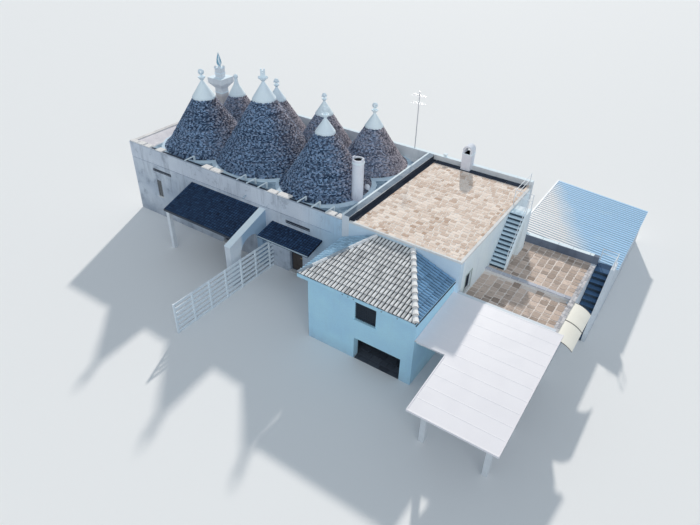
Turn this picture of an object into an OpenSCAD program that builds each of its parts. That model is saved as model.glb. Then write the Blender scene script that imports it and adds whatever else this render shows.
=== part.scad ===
// Trullo house: seven stone cones over a whitewashed block, with a flat roofed block,
// a tiled room, a low roof terrace, a pergola, a shed and two entrance canopies.
// Lengths in millimetres. X runs along the front, Y to the back, Z up from the ground.

/* [Main block] */
// Length of the block under the cones
main_length = 17460; // [17000:10:19000]
// Depth of the main block and the flat block
block_depth = 10100; // [9900:10:11000]
// Height of the top of the front and left parapets
main_height = 5050; // [4900:10:5120]
// Height of the roof deck that carries the cones
deck_height = 4700; // [4500:10:4850]
// Thickness of the roof deck
deck_thickness = 250; // [150:10:400]
// Thickness of the old stone walls
stone_wall = 700; // [500:10:900]
// Width of the low parapet on the stone walls
parapet_width = 260; // [150:10:350]
// Width of the parapet between the main block and the flat roof
middle_parapet = 450; // [300:10:500]
// Height of the groove under the parapet band
groove_height = 3960; // [3900:10:4100]
// Height and depth of that groove
groove_size = 45; // [20:5:80]
// Thickness of the ground floor slabs
floor_thickness = 150; // [100:10:300]

/* [Cones] */
// Radius of the large cone in the middle of the front
middle_cone_radius = 3260; // [3000:10:3300]
// Height of the tip of that cone above the deck
middle_cone_rise = 5000; // [4700:10:5200]
// Radius of the front cone on the left
left_cone_radius = 2840; // [2600:10:2900]
// Height of its tip above the deck
left_cone_rise = 4340; // [4100:10:4500]
// Radius of the front cone on the right
right_cone_radius = 2700; // [2500:10:2750]
// Height of its tip above the deck
right_cone_rise = 4140; // [3900:10:4300]
// Radius of the small cone behind the left one
back_left_radius = 1900; // [1700:10:2000]
// Height of its tip above the deck
back_left_rise = 2900; // [2700:10:3050]
// Radius of the cone behind the two on the left
back_middle_radius = 2330; // [2200:10:2400]
// Height of its tip above the deck
back_middle_rise = 3560; // [3300:10:3700]
// Radius of the other cones in the back row
back_cone_radius = 2180; // [2000:10:2250]
// Height of their tips above the deck
back_cone_rise = 3400; // [3200:10:3550]
// Gap between the back row of cones and the back parapet
back_row_gap = 230; // [100:10:300]
// Thickness of the corbelled stone shell
cone_shell = 600; // [450:10:700]
// Thickness of the stone that closes a cone under its cap
cap_seat = 300; // [200:10:400]
// Height of the whitewashed caps of the two tallest cones
tall_cap_height = 1060; // [900:10:1200]
// Height of the caps of the other cones
cap_height = 820; // [750:10:900]
// How far a cap stands out past the stone
cap_shell = 50; // [30:5:80]
// Width of the whitewashed ring at the foot of a cone
skirt_width = 220; // [120:10:300]
// Height of that ring against the cone
skirt_rise = 170; // [100:10:250]
// Width of the lip on top of the ring
skirt_lip = 25; // [15:5:50]
// Height of a pinnacle above the tip of its cap
pinnacle_height = 740; // [600:10:850]
// Radius of the ball on a pinnacle
ball_radius = 195; // [150:5:220]
// Radius of the cup under the ball
cup_radius = 235; // [180:5:260]
// Height of that cup
cup_height = 250; // [180:5:280]
// Radius of the neck that carries the ball
neck_radius = 75; // [50:5:100]
// Radius of the hole through a pierced ball
bore_radius = 75; // [40:5:90]
// Angle by which the pinnacles are turned to the right
pinnacle_turn = 40; // [0:1:60]

/* [Flat block] */
// Length of the block with the paved flat roof
flat_length = 7050; // [6700:10:7500]
// Height of the paved roof
flat_height = 5060; // [4990:10:5150]
// Height of the parapets on the left and back sides above that roof
flat_parapet = 340; // [250:10:550]
// Thickness of the newer walls
wall = 400; // [300:10:500]
// Thickness of the flat roof slab
flat_slab = 250; // [150:10:350]
// Thickness of the coping on the front and right edges
coping_thickness = 80; // [40:5:120]
// Width of that coping
coping_width = 320; // [200:10:380]
// How far the coping stands out past the wall
coping_overhang = 40; // [10:5:80]

/* [Tiled room] */
// Depth of the tiled room in front of the flat block
tile_depth = 3970; // [3500:10:4400]
// Distance of its left wall from the corner of the main block
tile_left_gap = 690; // [600:10:800]
// Distance of its right wall from the corner of the flat block
tile_right_gap = 200; // [100:10:400]
// Height of the eaves at the roof's upper face
eave_height = 3990; // [3900:10:4100]
// Height of the roof where it meets the wall
tile_top_height = 4880; // [4700:10:4940]
// Length of the level top edge of the roof
tile_top_length = 2170; // [1800:10:2500]
// Distance of that top edge from the left wall of the room
tile_top_start = 1530; // [1300:10:1900]
// Thickness of the tiled roof
tile_roof_thickness = 180; // [120:5:250]
// Overhang of the eave on the left
tile_left_overhang = 560; // [300:10:590]
// Overhang of the eave in front
tile_front_overhang = 90; // [50:5:200]
// Level of the upper floor in the tiled room
upper_floor_height = 1700; // [1650:10:1750]
// Width of the window in the tiled room
tile_window_width = 1200; // [800:10:1500]
// Height of that window
tile_window_height = 1120; // [700:10:1150]
// Height of its sill above the upper floor
tile_window_sill = 900; // [700:10:930]
// Distance of the window and the cellar opening from the left wall of the room
tile_opening_start = 2850; // [2000:10:3000]
// Width of the low cellar opening
cellar_width = 2680; // [1500:10:2700]
// Height of the low cellar opening
cellar_height = 1370; // [1200:10:1400]

/* [Doors and windows] */
// Width of the entrance doorways
door_width = 960; // [800:10:1100]
// Height of the entrance doorways
door_height = 2100; // [2000:10:2300]
// Distance of the doorway under the large canopy from the left corner
left_door_start = 8100; // [7000:50:9500]
// Distance of the doorway under the small canopy from the left corner
right_door_start = 13690; // [13000:10:14500]
// Thickness of a door leaf
leaf_thickness = 50; // [30:5:80]
// Width of a window or door frame
frame_width = 70; // [40:5:90]
// Depth of a window or door frame
frame_depth = 90; // [60:5:150]
// Thickness of the glass
glass_thickness = 12; // [6:1:24]
// Distance of the narrow window from the left corner
slit_window_start = 2150; // [1500:10:2600]
// Width of the narrow window in the stone wall
slit_window_width = 450; // [300:10:600]
// Height of that window
slit_window_height = 1250; // [800:10:1500]
// Height of its sill above the ground
slit_window_sill = 1600; // [1200:10:1900]
// Distance of the left slot from the left corner
left_slot_start = 2020; // [1500:10:2500]
// Distance of the right slot from the left corner
right_slot_start = 13510; // [13000:10:14000]
// Length of the two slots under the groove
slot_length = 1700; // [1000:10:2000]
// Height of the slots
slot_height = 120; // [60:5:200]
// Depth of the slots
slot_depth = 250; // [100:10:400]
// Distance of the slots below the groove
slot_drop = 330; // [250:10:400]
// Width of the side window beside the terrace
side_window_width = 730; // [500:10:900]
// Height of the side window beside the terrace
side_window_height = 1030; // [600:10:1200]
// Distance of the side window from the front
side_window_start = 920; // [550:10:1200]
// Height of the side window's sill above the terrace
side_window_sill = 300; // [200:10:800]

/* [Terrace block] */
// Length of the terrace block beside the flat block
terrace_length = 4990; // [4800:10:5500]
// Depth of the terrace block
terrace_depth = 8450; // [8300:10:9000]
// Level of the terrace paving
terrace_height = 2450; // [2350:10:2550]
// Thickness of the terrace slab
terrace_slab = 220; // [150:10:300]
// Height of the back parapet above the paving
terrace_parapet = 500; // [300:10:600]
// Height of the low side parapet above the paving
side_parapet = 200; // [150:10:300]
// Width of the terrace parapets
terrace_parapet_width = 250; // [150:10:300]
// Distance of the kerb across the terrace from the front
kerb_start = 3750; // [3500:10:4000]
// Width of that kerb
kerb_width = 220; // [120:10:300]
// Height of that kerb
kerb_height = 200; // [100:10:300]

/* [Stairs] */
// Number of risers from the terrace to the flat roof
upper_risers = 13; // [12:1:14]
// Depth of one of those treads
upper_going = 155; // [145:5:165]
// Width of the upper flight
upper_stair_width = 850; // [700:10:1000]
// Distance of the foot of the upper flight from the front
upper_stair_start = 4450; // [4350:10:4550]
// Length of the landing at the top of the upper flight
upper_landing = 950; // [800:10:1100]
// Thickness of the kerb on the open side of the upper flight
stair_kerb = 80; // [50:5:120]
// Height of that kerb above the nosings
stair_kerb_rise = 30; // [20:5:120]
// Thickness of the upper flight over the open room below it
flight_thickness = 300; // [220:10:400]
// Number of risers from the ground to the terrace
lower_risers = 12; // [11:1:13]
// Depth of one of those treads
lower_going = 300; // [270:5:330]
// Width of the lower flight
lower_stair_width = 800; // [700:10:1000]
// Length of the landing at the top of the lower flight
lower_landing = 950; // [800:10:1100]
// Thickness of the wall beside the lower flight
stair_wall = 200; // [150:10:300]
// Height of that wall above the treads
stair_wall_rise = 350; // [250:10:500]

/* [Shed] */
// Depth of the shed behind the terrace
shed_depth = 8150; // [7000:50:9000]
// Height of its metal roof at the high side
shed_high = 2800; // [2750:10:2900]
// Height of its metal roof at the low side
shed_low = 2350; // [2250:10:2450]
// Overhang of the metal roof at the low side
shed_overhang = 120; // [50:5:200]
// Thickness of the shed walls
shed_wall = 200; // [150:10:300]
// Thickness of the metal sheet
sheet_thickness = 25; // [10:1:40]
// Height of the ribs on the metal sheet
rib_height = 35; // [20:5:50]
// Width of a rib at its foot
rib_width = 90; // [50:5:120]
// Distance between two ribs of the sheet
rib_pitch = 260; // [200:10:400]

/* [Pergola] */
// Height of the pergola roof at the front edge
pergola_front_height = 2610; // [2550:10:2800]
// Height of the pergola roof at the wall
pergola_back_height = 3290; // [3200:10:3400]
// Depth of the pergola from the terrace wall
pergola_depth = 7440; // [7000:10:7800]
// Distance of its narrow front part from the flat block's corner
pergola_setback = 1350; // [1200:10:1500]
// Overhang of the roof past the terrace on the right
pergola_overhang = 420; // [200:10:500]
// Thickness of the roof panels
panel_thickness = 40; // [25:5:60]
// Width of the rafters
rafter_width = 80; // [50:5:100]
// Depth of the rafters
rafter_depth = 130; // [100:5:180]
// Distance between two rafters
rafter_pitch = 1000; // [900:10:1050]
// Side of the square posts
post_side = 250; // [150:10:300]
// Distance of the front posts from the front edge
post_setback = 940; // [700:10:1100]
// Depth of the beams under the rafters
beam_depth = 160; // [120:5:200]

/* [Canopies] */
// Start of the large canopy from the left corner
canopy_start = 5720; // [5500:10:6000]
// Length of the large canopy
canopy_length = 5780; // [5500:10:5900]
// Depth of the large canopy
canopy_depth = 2480; // [2200:10:2800]
// Height of the large canopy at the wall
canopy_top = 3750; // [3600:10:3850]
// Height of the large canopy at its front edge
canopy_front = 2900; // [2750:10:3100]
// Thickness of the canopy roofs
canopy_thickness = 120; // [80:5:160]
// Distance of the small canopy from the wing wall
small_canopy_gap = 510; // [400:10:700]
// Length of the small canopy
small_canopy_length = 3700; // [3500:10:3800]
// Depth of the small canopy
small_canopy_depth = 1400; // [1200:10:1600]
// Height of the small canopy at the wall
small_canopy_top = 3230; // [3150:10:3350]
// Height of the small canopy at its front edge
small_canopy_front = 2900; // [2800:10:3000]
// Thickness of the wing wall beside the large canopy
wing_wall = 420; // [300:10:450]
// How far the wing wall runs past the canopy's front edge
wing_reach = 670; // [400:10:800]
// Length of the pillar at the end of the wing wall
pillar_length = 820; // [600:10:1000]
// Width of the arched opening behind that pillar
arch_width = 1900; // [1600:10:2000]
// Height of the crown of that arch
arch_height = 2700; // [2400:10:2800]
// Height of the wing wall above the canopy
wing_rise = 60; // [20:5:120]
// Side of the posts under the canopy's front edge
canopy_post = 250; // [150:10:350]

/* [Awning] */
// Length of the barrel awning along the terrace wall
awning_length = 3300; // [2500:50:3500]
// Reach of the awning from the wall
awning_reach = 930; // [800:10:1000]
// Drop of the awning from the wall to its edge
awning_drop = 380; // [250:10:450]
// Thickness of its skin
awning_skin = 25; // [15:1:40]
// Height of its top edge
awning_top = 2620; // [2500:10:2640]
// Distance of the awning from the front of the terrace
awning_start = 350; // [200:10:500]
// Number of panels in the awning
awning_panels = 2; // [1:1:4]
// Width of the joint between two panels
awning_joint = 30; // [10:5:60]

/* [Screen] */
// Number of bays in the slatted screen
screen_bays = 6; // [4:1:6]
// Length of one bay
screen_bay = 1250; // [1000:10:1400]
// Distance of the first post from the front wall
screen_first = 350; // [300:10:600]
// Height of the screen
screen_height = 1950; // [1700:10:2100]
// Number of slats in a bay
screen_slats = 7; // [6:1:8]
// Height of one slat
slat_height = 150; // [100:5:170]
// Thickness of a slat
slat_thickness = 40; // [25:1:60]
// Side of a screen post
screen_post = 90; // [60:5:120]
// Distance of the screen from the wing wall
screen_gap = 380; // [300:10:450]

/* [Chimneys] */
// Radius of the round chimney
round_chimney_radius = 340; // [250:10:380]
// Height of the round chimney above the deck
round_chimney_height = 2560; // [2300:10:2900]
// Thickness of the wall of that chimney
flue_wall = 75; // [50:5:100]
// Depth of its open flue
flue_depth = 700; // [400:10:900]
// Height of the two stones on its rim
rim_stone = 90; // [50:5:150]
// Side of the square chimney on the left wall
stack_side = 680; // [600:10:700]
// Height of that chimney above the parapet
stack_height = 1500; // [1300:10:1700]
// Distance of that chimney from the back
stack_back = 1500; // [1300:10:2100]
// Side of its flared hood
hood_side = 1350; // [1200:10:1450]
// Height of the flared hood
hood_height = 800; // [650:10:900]
// Height over which that hood widens
hood_flare = 400; // [300:10:500]
// Thickness of the hood's rim
hood_lip = 110; // [60:5:150]
// Side of the pot on the hood
pot_side = 520; // [400:10:560]
// Height of the pot above the hood
pot_height = 700; // [500:10:900]
// Radius of the balls on the corners of the pot
corner_ball = 95; // [70:5:110]
// Radius of the pointed finial
finial_radius = 200; // [150:5:220]
// Height of the pointed finial
finial_height = 1150; // [900:10:1250]
// Side of the chimney pot on the flat roof's back parapet
back_pot_side = 600; // [450:10:650]
// Height of that chimney pot up to its hood
back_pot_height = 800; // [600:10:1000]
// Height of the open hood on that pot
pot_hood_height = 500; // [350:10:600]
// Thickness of that hood
pot_hood_wall = 110; // [60:5:150]
// Distance of that chimney pot from the main block
back_pot_start = 2500; // [1500:10:3500]
// Radius of the small roof vent
vent_radius = 165; // [120:5:200]
// Height of that vent
vent_height = 430; // [300:10:500]
// Radius of the antenna mast
mast_radius = 30; // [20:1:50]
// Distance of the mast from the left corner
mast_start = 16400; // [15500:10:17000]
// Length of the arms on the mast
mast_arm = 900; // [400:10:1200]
// Height of the antenna mast above the parapet
mast_height = 3800; // [3000:50:4200]

/* [Railings] */
// Height of the railings
rail_height = 950; // [850:10:1100]
// Radius of the railing tubes
rail_radius = 22; // [15:1:30]

/* [Hidden] */

// length that a cut runs past the face it goes through
past = 50;
$fn = 96;
// clearance of the rings round the small chimneys
chimney_gap = 20;
// finer steps where two cones cut each other
cone_steps = 240;
// width of the joint between two slopes of the tiled roof
hip_joint = 0.6;

// plan positions, with the origin under the middle of the main block
left_x = -main_length / 2;
front_y = -block_depth / 2;
back_y = block_depth / 2;
corner_x = main_length / 2;
flat_right_x = corner_x + flat_length;
terrace_right_x = flat_right_x + terrace_length;
terrace_back_y = front_y + terrace_depth;
middle_left_x = corner_x - stone_wall / 2;
middle_right_x = corner_x + middle_parapet;
deck_bottom = deck_height - deck_thickness;
flat_slab_bottom = flat_height - flat_slab;
flat_parapet_height = flat_height + flat_parapet;
terrace_slab_bottom = terrace_height - terrace_slab;

// faces of the tiled room
tile_left_x = corner_x + tile_left_gap;
tile_right_x = flat_right_x - tile_right_gap;
tile_front_y = front_y - tile_depth;
tile_top_left_x = tile_left_x + tile_top_start;
tile_top_right_x = tile_top_left_x + tile_top_length;
tile_eave_left_x = tile_left_x - tile_left_overhang;
tile_eave_right_x = tile_right_x;
tile_eave_front_y = tile_front_y - tile_front_overhang;

// the upper flight climbs from the terrace to the landing at roof level
upper_rise = (flat_height - terrace_height) / upper_risers;
upper_run = (upper_risers - 1) * upper_going;
upper_foot_y = front_y + upper_stair_start;
upper_top_y = upper_foot_y + upper_run;
upper_kerb_x = flat_right_x + upper_stair_width;

// the lower flight climbs from the ground to the landing at terrace level
lower_rise = terrace_height / lower_risers;
lower_run = (lower_risers - 1) * lower_going;
lower_top_y = terrace_back_y - lower_landing;
lower_foot_y = lower_top_y - lower_run;
stair_wall_x = terrace_right_x + lower_stair_width;

white = [0.93, 0.94, 0.95];
weathered = [0.78, 0.78, 0.78];
slate = [0.33, 0.36, 0.42];
paving = [0.80, 0.70, 0.58];
tile_white = [0.86, 0.86, 0.84];
shingle = [0.10, 0.13, 0.22];
cream = [0.92, 0.87, 0.76];
dark_glass = [0.15, 0.17, 0.20];

// distance from the front of a cone that stands just inside the back parapet
function back_row(radius, gap) = block_depth - parapet_width - radius - gap;

// each cone: distance from the left corner, distance from the front, radius, rise of the tip,
// height of the cap, size of its pinnacle against the largest one
left_cone = [main_length * 0.223, block_depth * 0.3515,
    left_cone_radius, left_cone_rise, tall_cap_height, 1];
middle_cone = [main_length * 0.489, block_depth * 0.422,
    middle_cone_radius, middle_cone_rise, tall_cap_height, 1];
right_cone = [main_length * 0.7905, block_depth * 0.3465,
    right_cone_radius, right_cone_rise, cap_height, 0.95];
back_left_cone = [main_length * 0.1605, back_row(back_left_radius, back_row_gap),
    back_left_radius, back_left_rise, cap_height, 0.85];
back_middle_cone = [main_length * 0.3995, back_row(back_middle_radius, back_row_gap),
    back_middle_radius, back_middle_rise, cap_height, 0.8];
back_right_cone = [main_length * 0.6215, back_row(back_cone_radius, back_row_gap),
    back_cone_radius, back_cone_rise, cap_height, 0.72];
end_cone = [main_length * 0.8365, back_row(back_cone_radius, back_row_gap / 4),
    back_cone_radius, back_cone_rise, cap_height, 0.9];
cones = [left_cone, middle_cone, right_cone, back_left_cone, back_middle_cone,
    back_right_cone, end_cone];

// small things on the roof: distance from the left corner, distance from the front
round_chimney_place = [main_length * 0.9445, block_depth * 0.292];
vent_place = [main_length * 0.9380, block_depth * 0.415];

module block(x, y, z, length, depth, height) {
  translate([x, y, z])
    cube([length, depth, height]);
}

// a prism that runs along X, from a profile in Y and Z
module along_x(x, length) {
  translate([x, 0, 0])
    rotate([90, 0, 90])
      linear_extrude(length)
        children();
}

// a prism that runs along Y, from a profile in X and Z
module along_y(y, depth) {
  translate([0, y + depth, 0])
    rotate([90, 0, 0])
      linear_extrude(depth)
        children();
}

module at_place(place) {
  translate([left_x + place[0], front_y + place[1], 0])
    children();
}

// Main block

module main_front_wall() {
  color(weathered)
    difference() {
      along_x(left_x, main_length)
        polygon([
          [front_y, 0], [front_y + stone_wall, 0], [front_y + stone_wall, deck_height],
          [front_y + parapet_width, deck_height], [front_y + parapet_width, main_height],
          [front_y, main_height]]);
      // the groove runs up to the smooth wall beside the tiled room
      block(left_x - past, front_y - past, groove_height,
        main_length - tile_left_gap + past, groove_size + past, groove_size);
      slot(left_slot_start);
      slot(right_slot_start);
      block(left_x + slit_window_start, front_y - past, slit_window_sill,
        slit_window_width, stone_wall + 2 * past, slit_window_height);
      doorway(left_door_start);
      doorway(right_door_start);
    }
}

module slot(start) {
  block(left_x + start, front_y - past, groove_height - slot_drop - slot_height,
    slot_length, slot_depth + past, slot_height);
}

module doorway(start) {
  block(left_x + start, front_y - past, floor_thickness,
    door_width, stone_wall + 2 * past, door_height);
}

module main_back_wall() {
  color(weathered)
    along_x(left_x, main_length)
      polygon([
        [back_y, 0], [back_y, flat_parapet_height],
        [back_y - parapet_width, flat_parapet_height], [back_y - parapet_width, deck_height],
        [back_y - stone_wall, deck_height], [back_y - stone_wall, 0]]);
}

module main_left_wall() {
  color(weathered)
    difference() {
      union() {
        block(left_x, front_y + stone_wall, 0,
          stone_wall, block_depth - 2 * stone_wall, deck_height);
        // the low parapet closes the deck between the front and back parapets
        block(left_x, front_y + parapet_width, deck_height,
          parapet_width, block_depth - 2 * parapet_width, main_height - deck_height);
      }
      at_place(stack_place)
        translate([-stack_side, -stack_side / 2, deck_height])
          cube([2 * stack_side, stack_side, stack_top]);
    }
}

module middle_wall() {
  color(white)
    along_y(front_y + stone_wall, block_depth - 2 * stone_wall)
      polygon([
        [middle_left_x, 0], [corner_x, 0], [corner_x, deck_height],
        [middle_left_x, deck_height]]);
  // the high parapet beside the flat roof runs from front to back
  color(white)
    block(corner_x, front_y, 0, middle_parapet, block_depth - wall, flat_parapet_height);
}

module main_roof_deck() {
  inner_length = middle_left_x - left_x - stone_wall;
  inner_depth = block_depth - 2 * stone_wall;
  color(slate)
    difference() {
      block(left_x + stone_wall, front_y + stone_wall, deck_bottom,
        inner_length, inner_depth, deck_thickness);
      for (cone = [left_cone, middle_cone, right_cone])
        room_opening(cone);
    }
}

// the square room opens up into the cone above it
module room_opening(cone) {
  side = (cone[2] - cone_shell) * 1.1;
  at_place(cone)
    translate([-side / 2, -side / 2, deck_bottom - past])
      cube([side, side, deck_thickness + 2 * past]);
}

// Cones

function cone_slope(cone) = cone[3] / cone[2];
function body_rise(cone) = cone[3] - cone[4];
function body_top_radius(cone) = cone[4] / cone_slope(cone);

// the full outer form of one cone, up to the foot of its cap
module cone_form(cone) {
  at_place(cone)
    translate([0, 0, deck_height])
      cylinder(h = body_rise(cone), r1 = cone[2], r2 = body_top_radius(cone), $fn = cone_steps);
}

// the corbelled shell: the outer form less a smaller cone that stands on the deck
module cone_body(cone) {
  slope = cone_slope(cone);
  hollow_radius = cone[2] - cone_shell;
  hollow_rise = min(body_rise(cone) - cap_seat, hollow_radius * slope - past);
  color(slate)
    difference() {
      cone_form(cone);
      at_place(cone)
        translate([0, 0, deck_height - past])
          cylinder(h = hollow_rise + past, r1 = hollow_radius + past / slope,
            r2 = hollow_radius - hollow_rise / slope, $fn = cone_steps);
    }
}

module cone_front_middle() {
  cone_body(middle_cone);
}

module cone_front_left() {
  difference() {
    cone_body(left_cone);
    cone_form(middle_cone);
  }
}

module cone_front_right() {
  difference() {
    cone_body(right_cone);
    cone_form(middle_cone);
    roof_pipes(0);
  }
}

module cone_back_left() {
  difference() {
    cone_body(back_left_cone);
    cone_form(left_cone);
  }
}

module cone_back_middle() {
  difference() {
    cone_body(back_middle_cone);
    cone_form(left_cone);
    cone_form(middle_cone);
    cone_form(back_left_cone);
  }
}

module cone_back_right() {
  difference() {
    cone_body(back_right_cone);
    cone_form(middle_cone);
    cone_form(right_cone);
    cone_form(back_middle_cone);
  }
}

module cone_right_end() {
  difference() {
    cone_body(end_cone);
    cone_form(right_cone);
    cone_form(back_right_cone);
    roof_pipes(0);
  }
}

// the room that the round chimney and the vent take where they stand against a cone
module roof_pipes(gap) {
  at_place(round_chimney_place)
    translate([0, 0, deck_height - past])
      cylinder(h = round_chimney_height + past, r = round_chimney_radius + gap);
  at_place(vent_place)
    translate([0, 0, deck_height - past])
      cylinder(h = round_chimney_height + past, r = vent_radius + gap);
}

// the sloped ring of mortar round the foot of one cone
module skirt_form(cone) {
  at_place(cone)
    translate([0, 0, deck_height])
      cylinder(h = skirt_rise, r1 = cone[2] + skirt_width,
        r2 = cone[2] - skirt_rise / cone_slope(cone) + skirt_lip, $fn = cone_steps);
}

module cone_skirts() {
  color(white)
    difference() {
      intersection() {
        union() {
          for (cone = cones)
            skirt_form(cone);
        }
        block(left_x + parapet_width, front_y + parapet_width, deck_height,
          main_length - parapet_width, block_depth - 2 * parapet_width, 2 * skirt_rise);
      }
      for (cone = cones)
        cone_form(cone);
      roof_pipes(chimney_gap);
    }
}

// places a cap on the cut top of its cone
module at_cap(cone) {
  at_place(cone)
    translate([0, 0, deck_height + body_rise(cone)])
      rotate([0, 0, pinnacle_turn])
        children();
}

function ball_centre(cone) = cone[4] + (pinnacle_height - ball_radius) * cone[5];

// the turned form of a cap, a dished cup and the neck that carries the ball
module cup_cap(cone, cup) {
  size = cone[5];
  foot = body_top_radius(cone) + cap_shell;
  cup_top = cone[4] + cup_height * size;
  rotate_extrude()
    polygon([
      [0, 0], [foot, 0], [foot, cap_shell], [neck_radius * size, cone[4]],
      [cup * size, cup_top - cup_height * size * 0.25], [cup * size, cup_top],
      [cup * size * 0.78, cup_top], [neck_radius * size, cup_top - cup_height * size * 0.4],
      [neck_radius * size, ball_centre(cone)], [0, ball_centre(cone)]]);
}

module ball_pinnacle(cone) {
  cup_cap(cone, cup_radius);
  translate([0, 0, ball_centre(cone)])
    sphere(ball_radius * cone[5]);
}

// the ball has a hole that faces the front
module pierced_pinnacle(cone) {
  difference() {
    union()
      ball_pinnacle(cone);
    translate([0, 0, ball_centre(cone)])
      rotate([90, 0, 0])
        cylinder(h = 4 * ball_radius, r = bore_radius * cone[5], center = true);
  }
}

// the ball has a hollow in its top
module dished_pinnacle(cone) {
  difference() {
    union()
      ball_pinnacle(cone);
    translate([0, 0, ball_centre(cone) + ball_radius * cone[5] * 0.4])
      cylinder(h = ball_radius, r1 = bore_radius / 2, r2 = bore_radius * 2);
  }
}

// the ball has a small lobe on each side
module lobed_pinnacle(cone) {
  lobe = ball_radius * 0.45 * cone[5];
  union() {
    ball_pinnacle(cone);
    for (side = [-1, 1])
      translate([side * ball_radius * 0.85 * cone[5], 0, ball_centre(cone) - lobe])
        sphere(lobe);
  }
}

// a ball on a thick stem that grows out of the cap
module stem_pinnacle(cone) {
  foot = body_top_radius(cone) + cap_shell;
  stem = neck_radius * 1.7;
  union() {
    rotate_extrude()
      polygon([
        [0, 0], [foot, 0], [foot, cap_shell], [stem * 1.6, cone[4] - stem],
        [stem, cone[4] + stem], [stem * 0.9, ball_centre(cone)], [0, ball_centre(cone)]]);
    translate([0, 0, ball_centre(cone)])
      sphere(ball_radius * cone[5]);
  }
}

// the tallest cone carries a notched block between two lobes
module crown_pinnacle(cone) {
  lobe = ball_radius * 0.55;
  block_width = ball_radius * 1.5;
  block_depth_y = ball_radius * 0.9;
  crown_top = cone[4] + pinnacle_height * 1.05;
  difference() {
    union() {
      cup_cap(cone, cup_radius * 1.1);
      for (side = [-1, 1])
        translate([side * (cup_radius - lobe * 0.3), 0, cone[4] + cup_height])
          sphere(lobe);
      block(-block_width / 2, -block_depth_y / 2, cone[4] + cup_height * 0.7,
        block_width, block_depth_y, crown_top - cone[4] - cup_height * 0.7);
    }
    block(-block_width / 6, -block_depth_y, crown_top - block_width / 3,
      block_width / 3, 2 * block_depth_y, block_width);
    translate([0, 0, crown_top - block_width * 0.75])
      rotate([90, 0, 0])
        cylinder(h = 2 * block_depth_y, r = bore_radius / 2, center = true);
  }
}

module cone_caps() {
  color(white)
    for (cone = [left_cone, end_cone])
      at_cap(cone)
        pierced_pinnacle(cone);
  color(white)
    at_cap(right_cone)
      dished_pinnacle(right_cone);
  color(white)
    for (cone = [back_middle_cone, back_right_cone])
      at_cap(cone)
        lobed_pinnacle(cone);
  color(white)
    at_cap(back_left_cone)
      stem_pinnacle(back_left_cone);
  color(white)
    at_cap(middle_cone)
      crown_pinnacle(middle_cone);
}

// Flat block

module flat_front_wall() {
  color(white)
    block(middle_right_x, front_y, 0,
      flat_right_x - middle_right_x, wall, flat_height);
}

module flat_back_wall() {
  color(white)
    along_x(corner_x, flat_length)
      polygon([
        [back_y, 0], [back_y, flat_parapet_height],
        [back_y - parapet_width, flat_parapet_height], [back_y - parapet_width, flat_height],
        [back_y - wall, flat_height], [back_y - wall, 0]]);
}

module flat_right_wall() {
  color(white)
    difference() {
      block(flat_right_x - wall, front_y + wall, 0, wall, block_depth - 2 * wall, flat_height);
      block(flat_right_x - wall - past, front_y + side_window_start,
        terrace_height + side_window_sill,
        wall + 2 * past, side_window_width, side_window_height);
    }
}

module flat_roof() {
  color(paving)
    block(middle_right_x, front_y + wall, flat_slab_bottom,
      flat_right_x - wall - middle_right_x, block_depth - 2 * wall, flat_slab);
}

module roof_copings() {
  color(cream)
    block(middle_right_x, front_y - coping_overhang, flat_height,
      flat_right_x + coping_overhang - middle_right_x, coping_width, coping_thickness);
  color(cream)
    block(flat_right_x + coping_overhang - coping_width, front_y - coping_overhang, flat_height,
      coping_width, block_depth - parapet_width + coping_overhang, coping_thickness);
  // a low kerb crosses the terrace
  color(cream)
    block(flat_right_x, front_y + kerb_start, terrace_height,
      terrace_length - terrace_parapet_width, kerb_width, kerb_height);
}

// Tiled room

// everything under the three slopes of the tiled roof
module under_tiles() {
  front_rise = (tile_top_height - eave_height) / (tile_depth + tile_front_overhang);
  left_rise = (tile_top_height - eave_height) / (tile_top_left_x - tile_eave_left_x);
  right_rise = (tile_top_height - eave_height) / (tile_eave_right_x - tile_top_right_x);
  // the two side slopes would meet above the front one
  apex_x = (left_rise * tile_eave_left_x + right_rise * tile_eave_right_x)
    / (left_rise + right_rise);
  apex_height = eave_height + left_rise * (apex_x - tile_eave_left_x);
  reach = tile_depth;
  intersection() {
    along_x(tile_eave_left_x - reach, tile_eave_right_x - tile_eave_left_x + 2 * reach)
      polygon([
        [tile_eave_front_y - reach, 0], [front_y + reach, 0],
        [front_y + reach, tile_top_height + reach * front_rise],
        [tile_eave_front_y - reach, eave_height - reach * front_rise]]);
    along_y(tile_eave_front_y - reach, tile_depth + 3 * reach)
      polygon([
        [tile_eave_left_x - reach, 0], [tile_eave_right_x + reach, 0],
        [tile_eave_right_x + reach, eave_height - reach * right_rise],
        [apex_x, apex_height],
        [tile_eave_left_x - reach, eave_height - reach * left_rise]]);
  }
}

// one slope of the roof, cut out of it by its outline in plan
module roof_plate(outline) {
  difference() {
    intersection() {
      under_tiles();
      linear_extrude(tile_top_height + past)
        polygon(outline);
    }
    translate([0, 0, -tile_roof_thickness])
      under_tiles();
  }
}

// the three slopes meet along the hips with a hair joint
module tile_roof() {
  left_hip = tile_top_left_x - hip_joint;
  right_hip = tile_top_right_x + hip_joint;
  color(tile_white)
    roof_plate([
      [tile_eave_left_x + hip_joint, tile_eave_front_y],
      [tile_eave_right_x - hip_joint, tile_eave_front_y],
      [tile_top_right_x, front_y], [tile_top_left_x, front_y]]);
  color(tile_white)
    roof_plate([
      [tile_eave_left_x, tile_eave_front_y], [left_hip, front_y], [tile_eave_left_x, front_y]]);
  color(tile_white)
    roof_plate([
      [tile_eave_right_x, tile_eave_front_y], [tile_eave_right_x, front_y],
      [right_hip, front_y]]);
}

// a wall of the tiled room, cut to the underside of the roof
module under_roof_wall() {
  intersection() {
    children();
    translate([0, 0, -tile_roof_thickness])
      under_tiles();
  }
}

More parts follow.
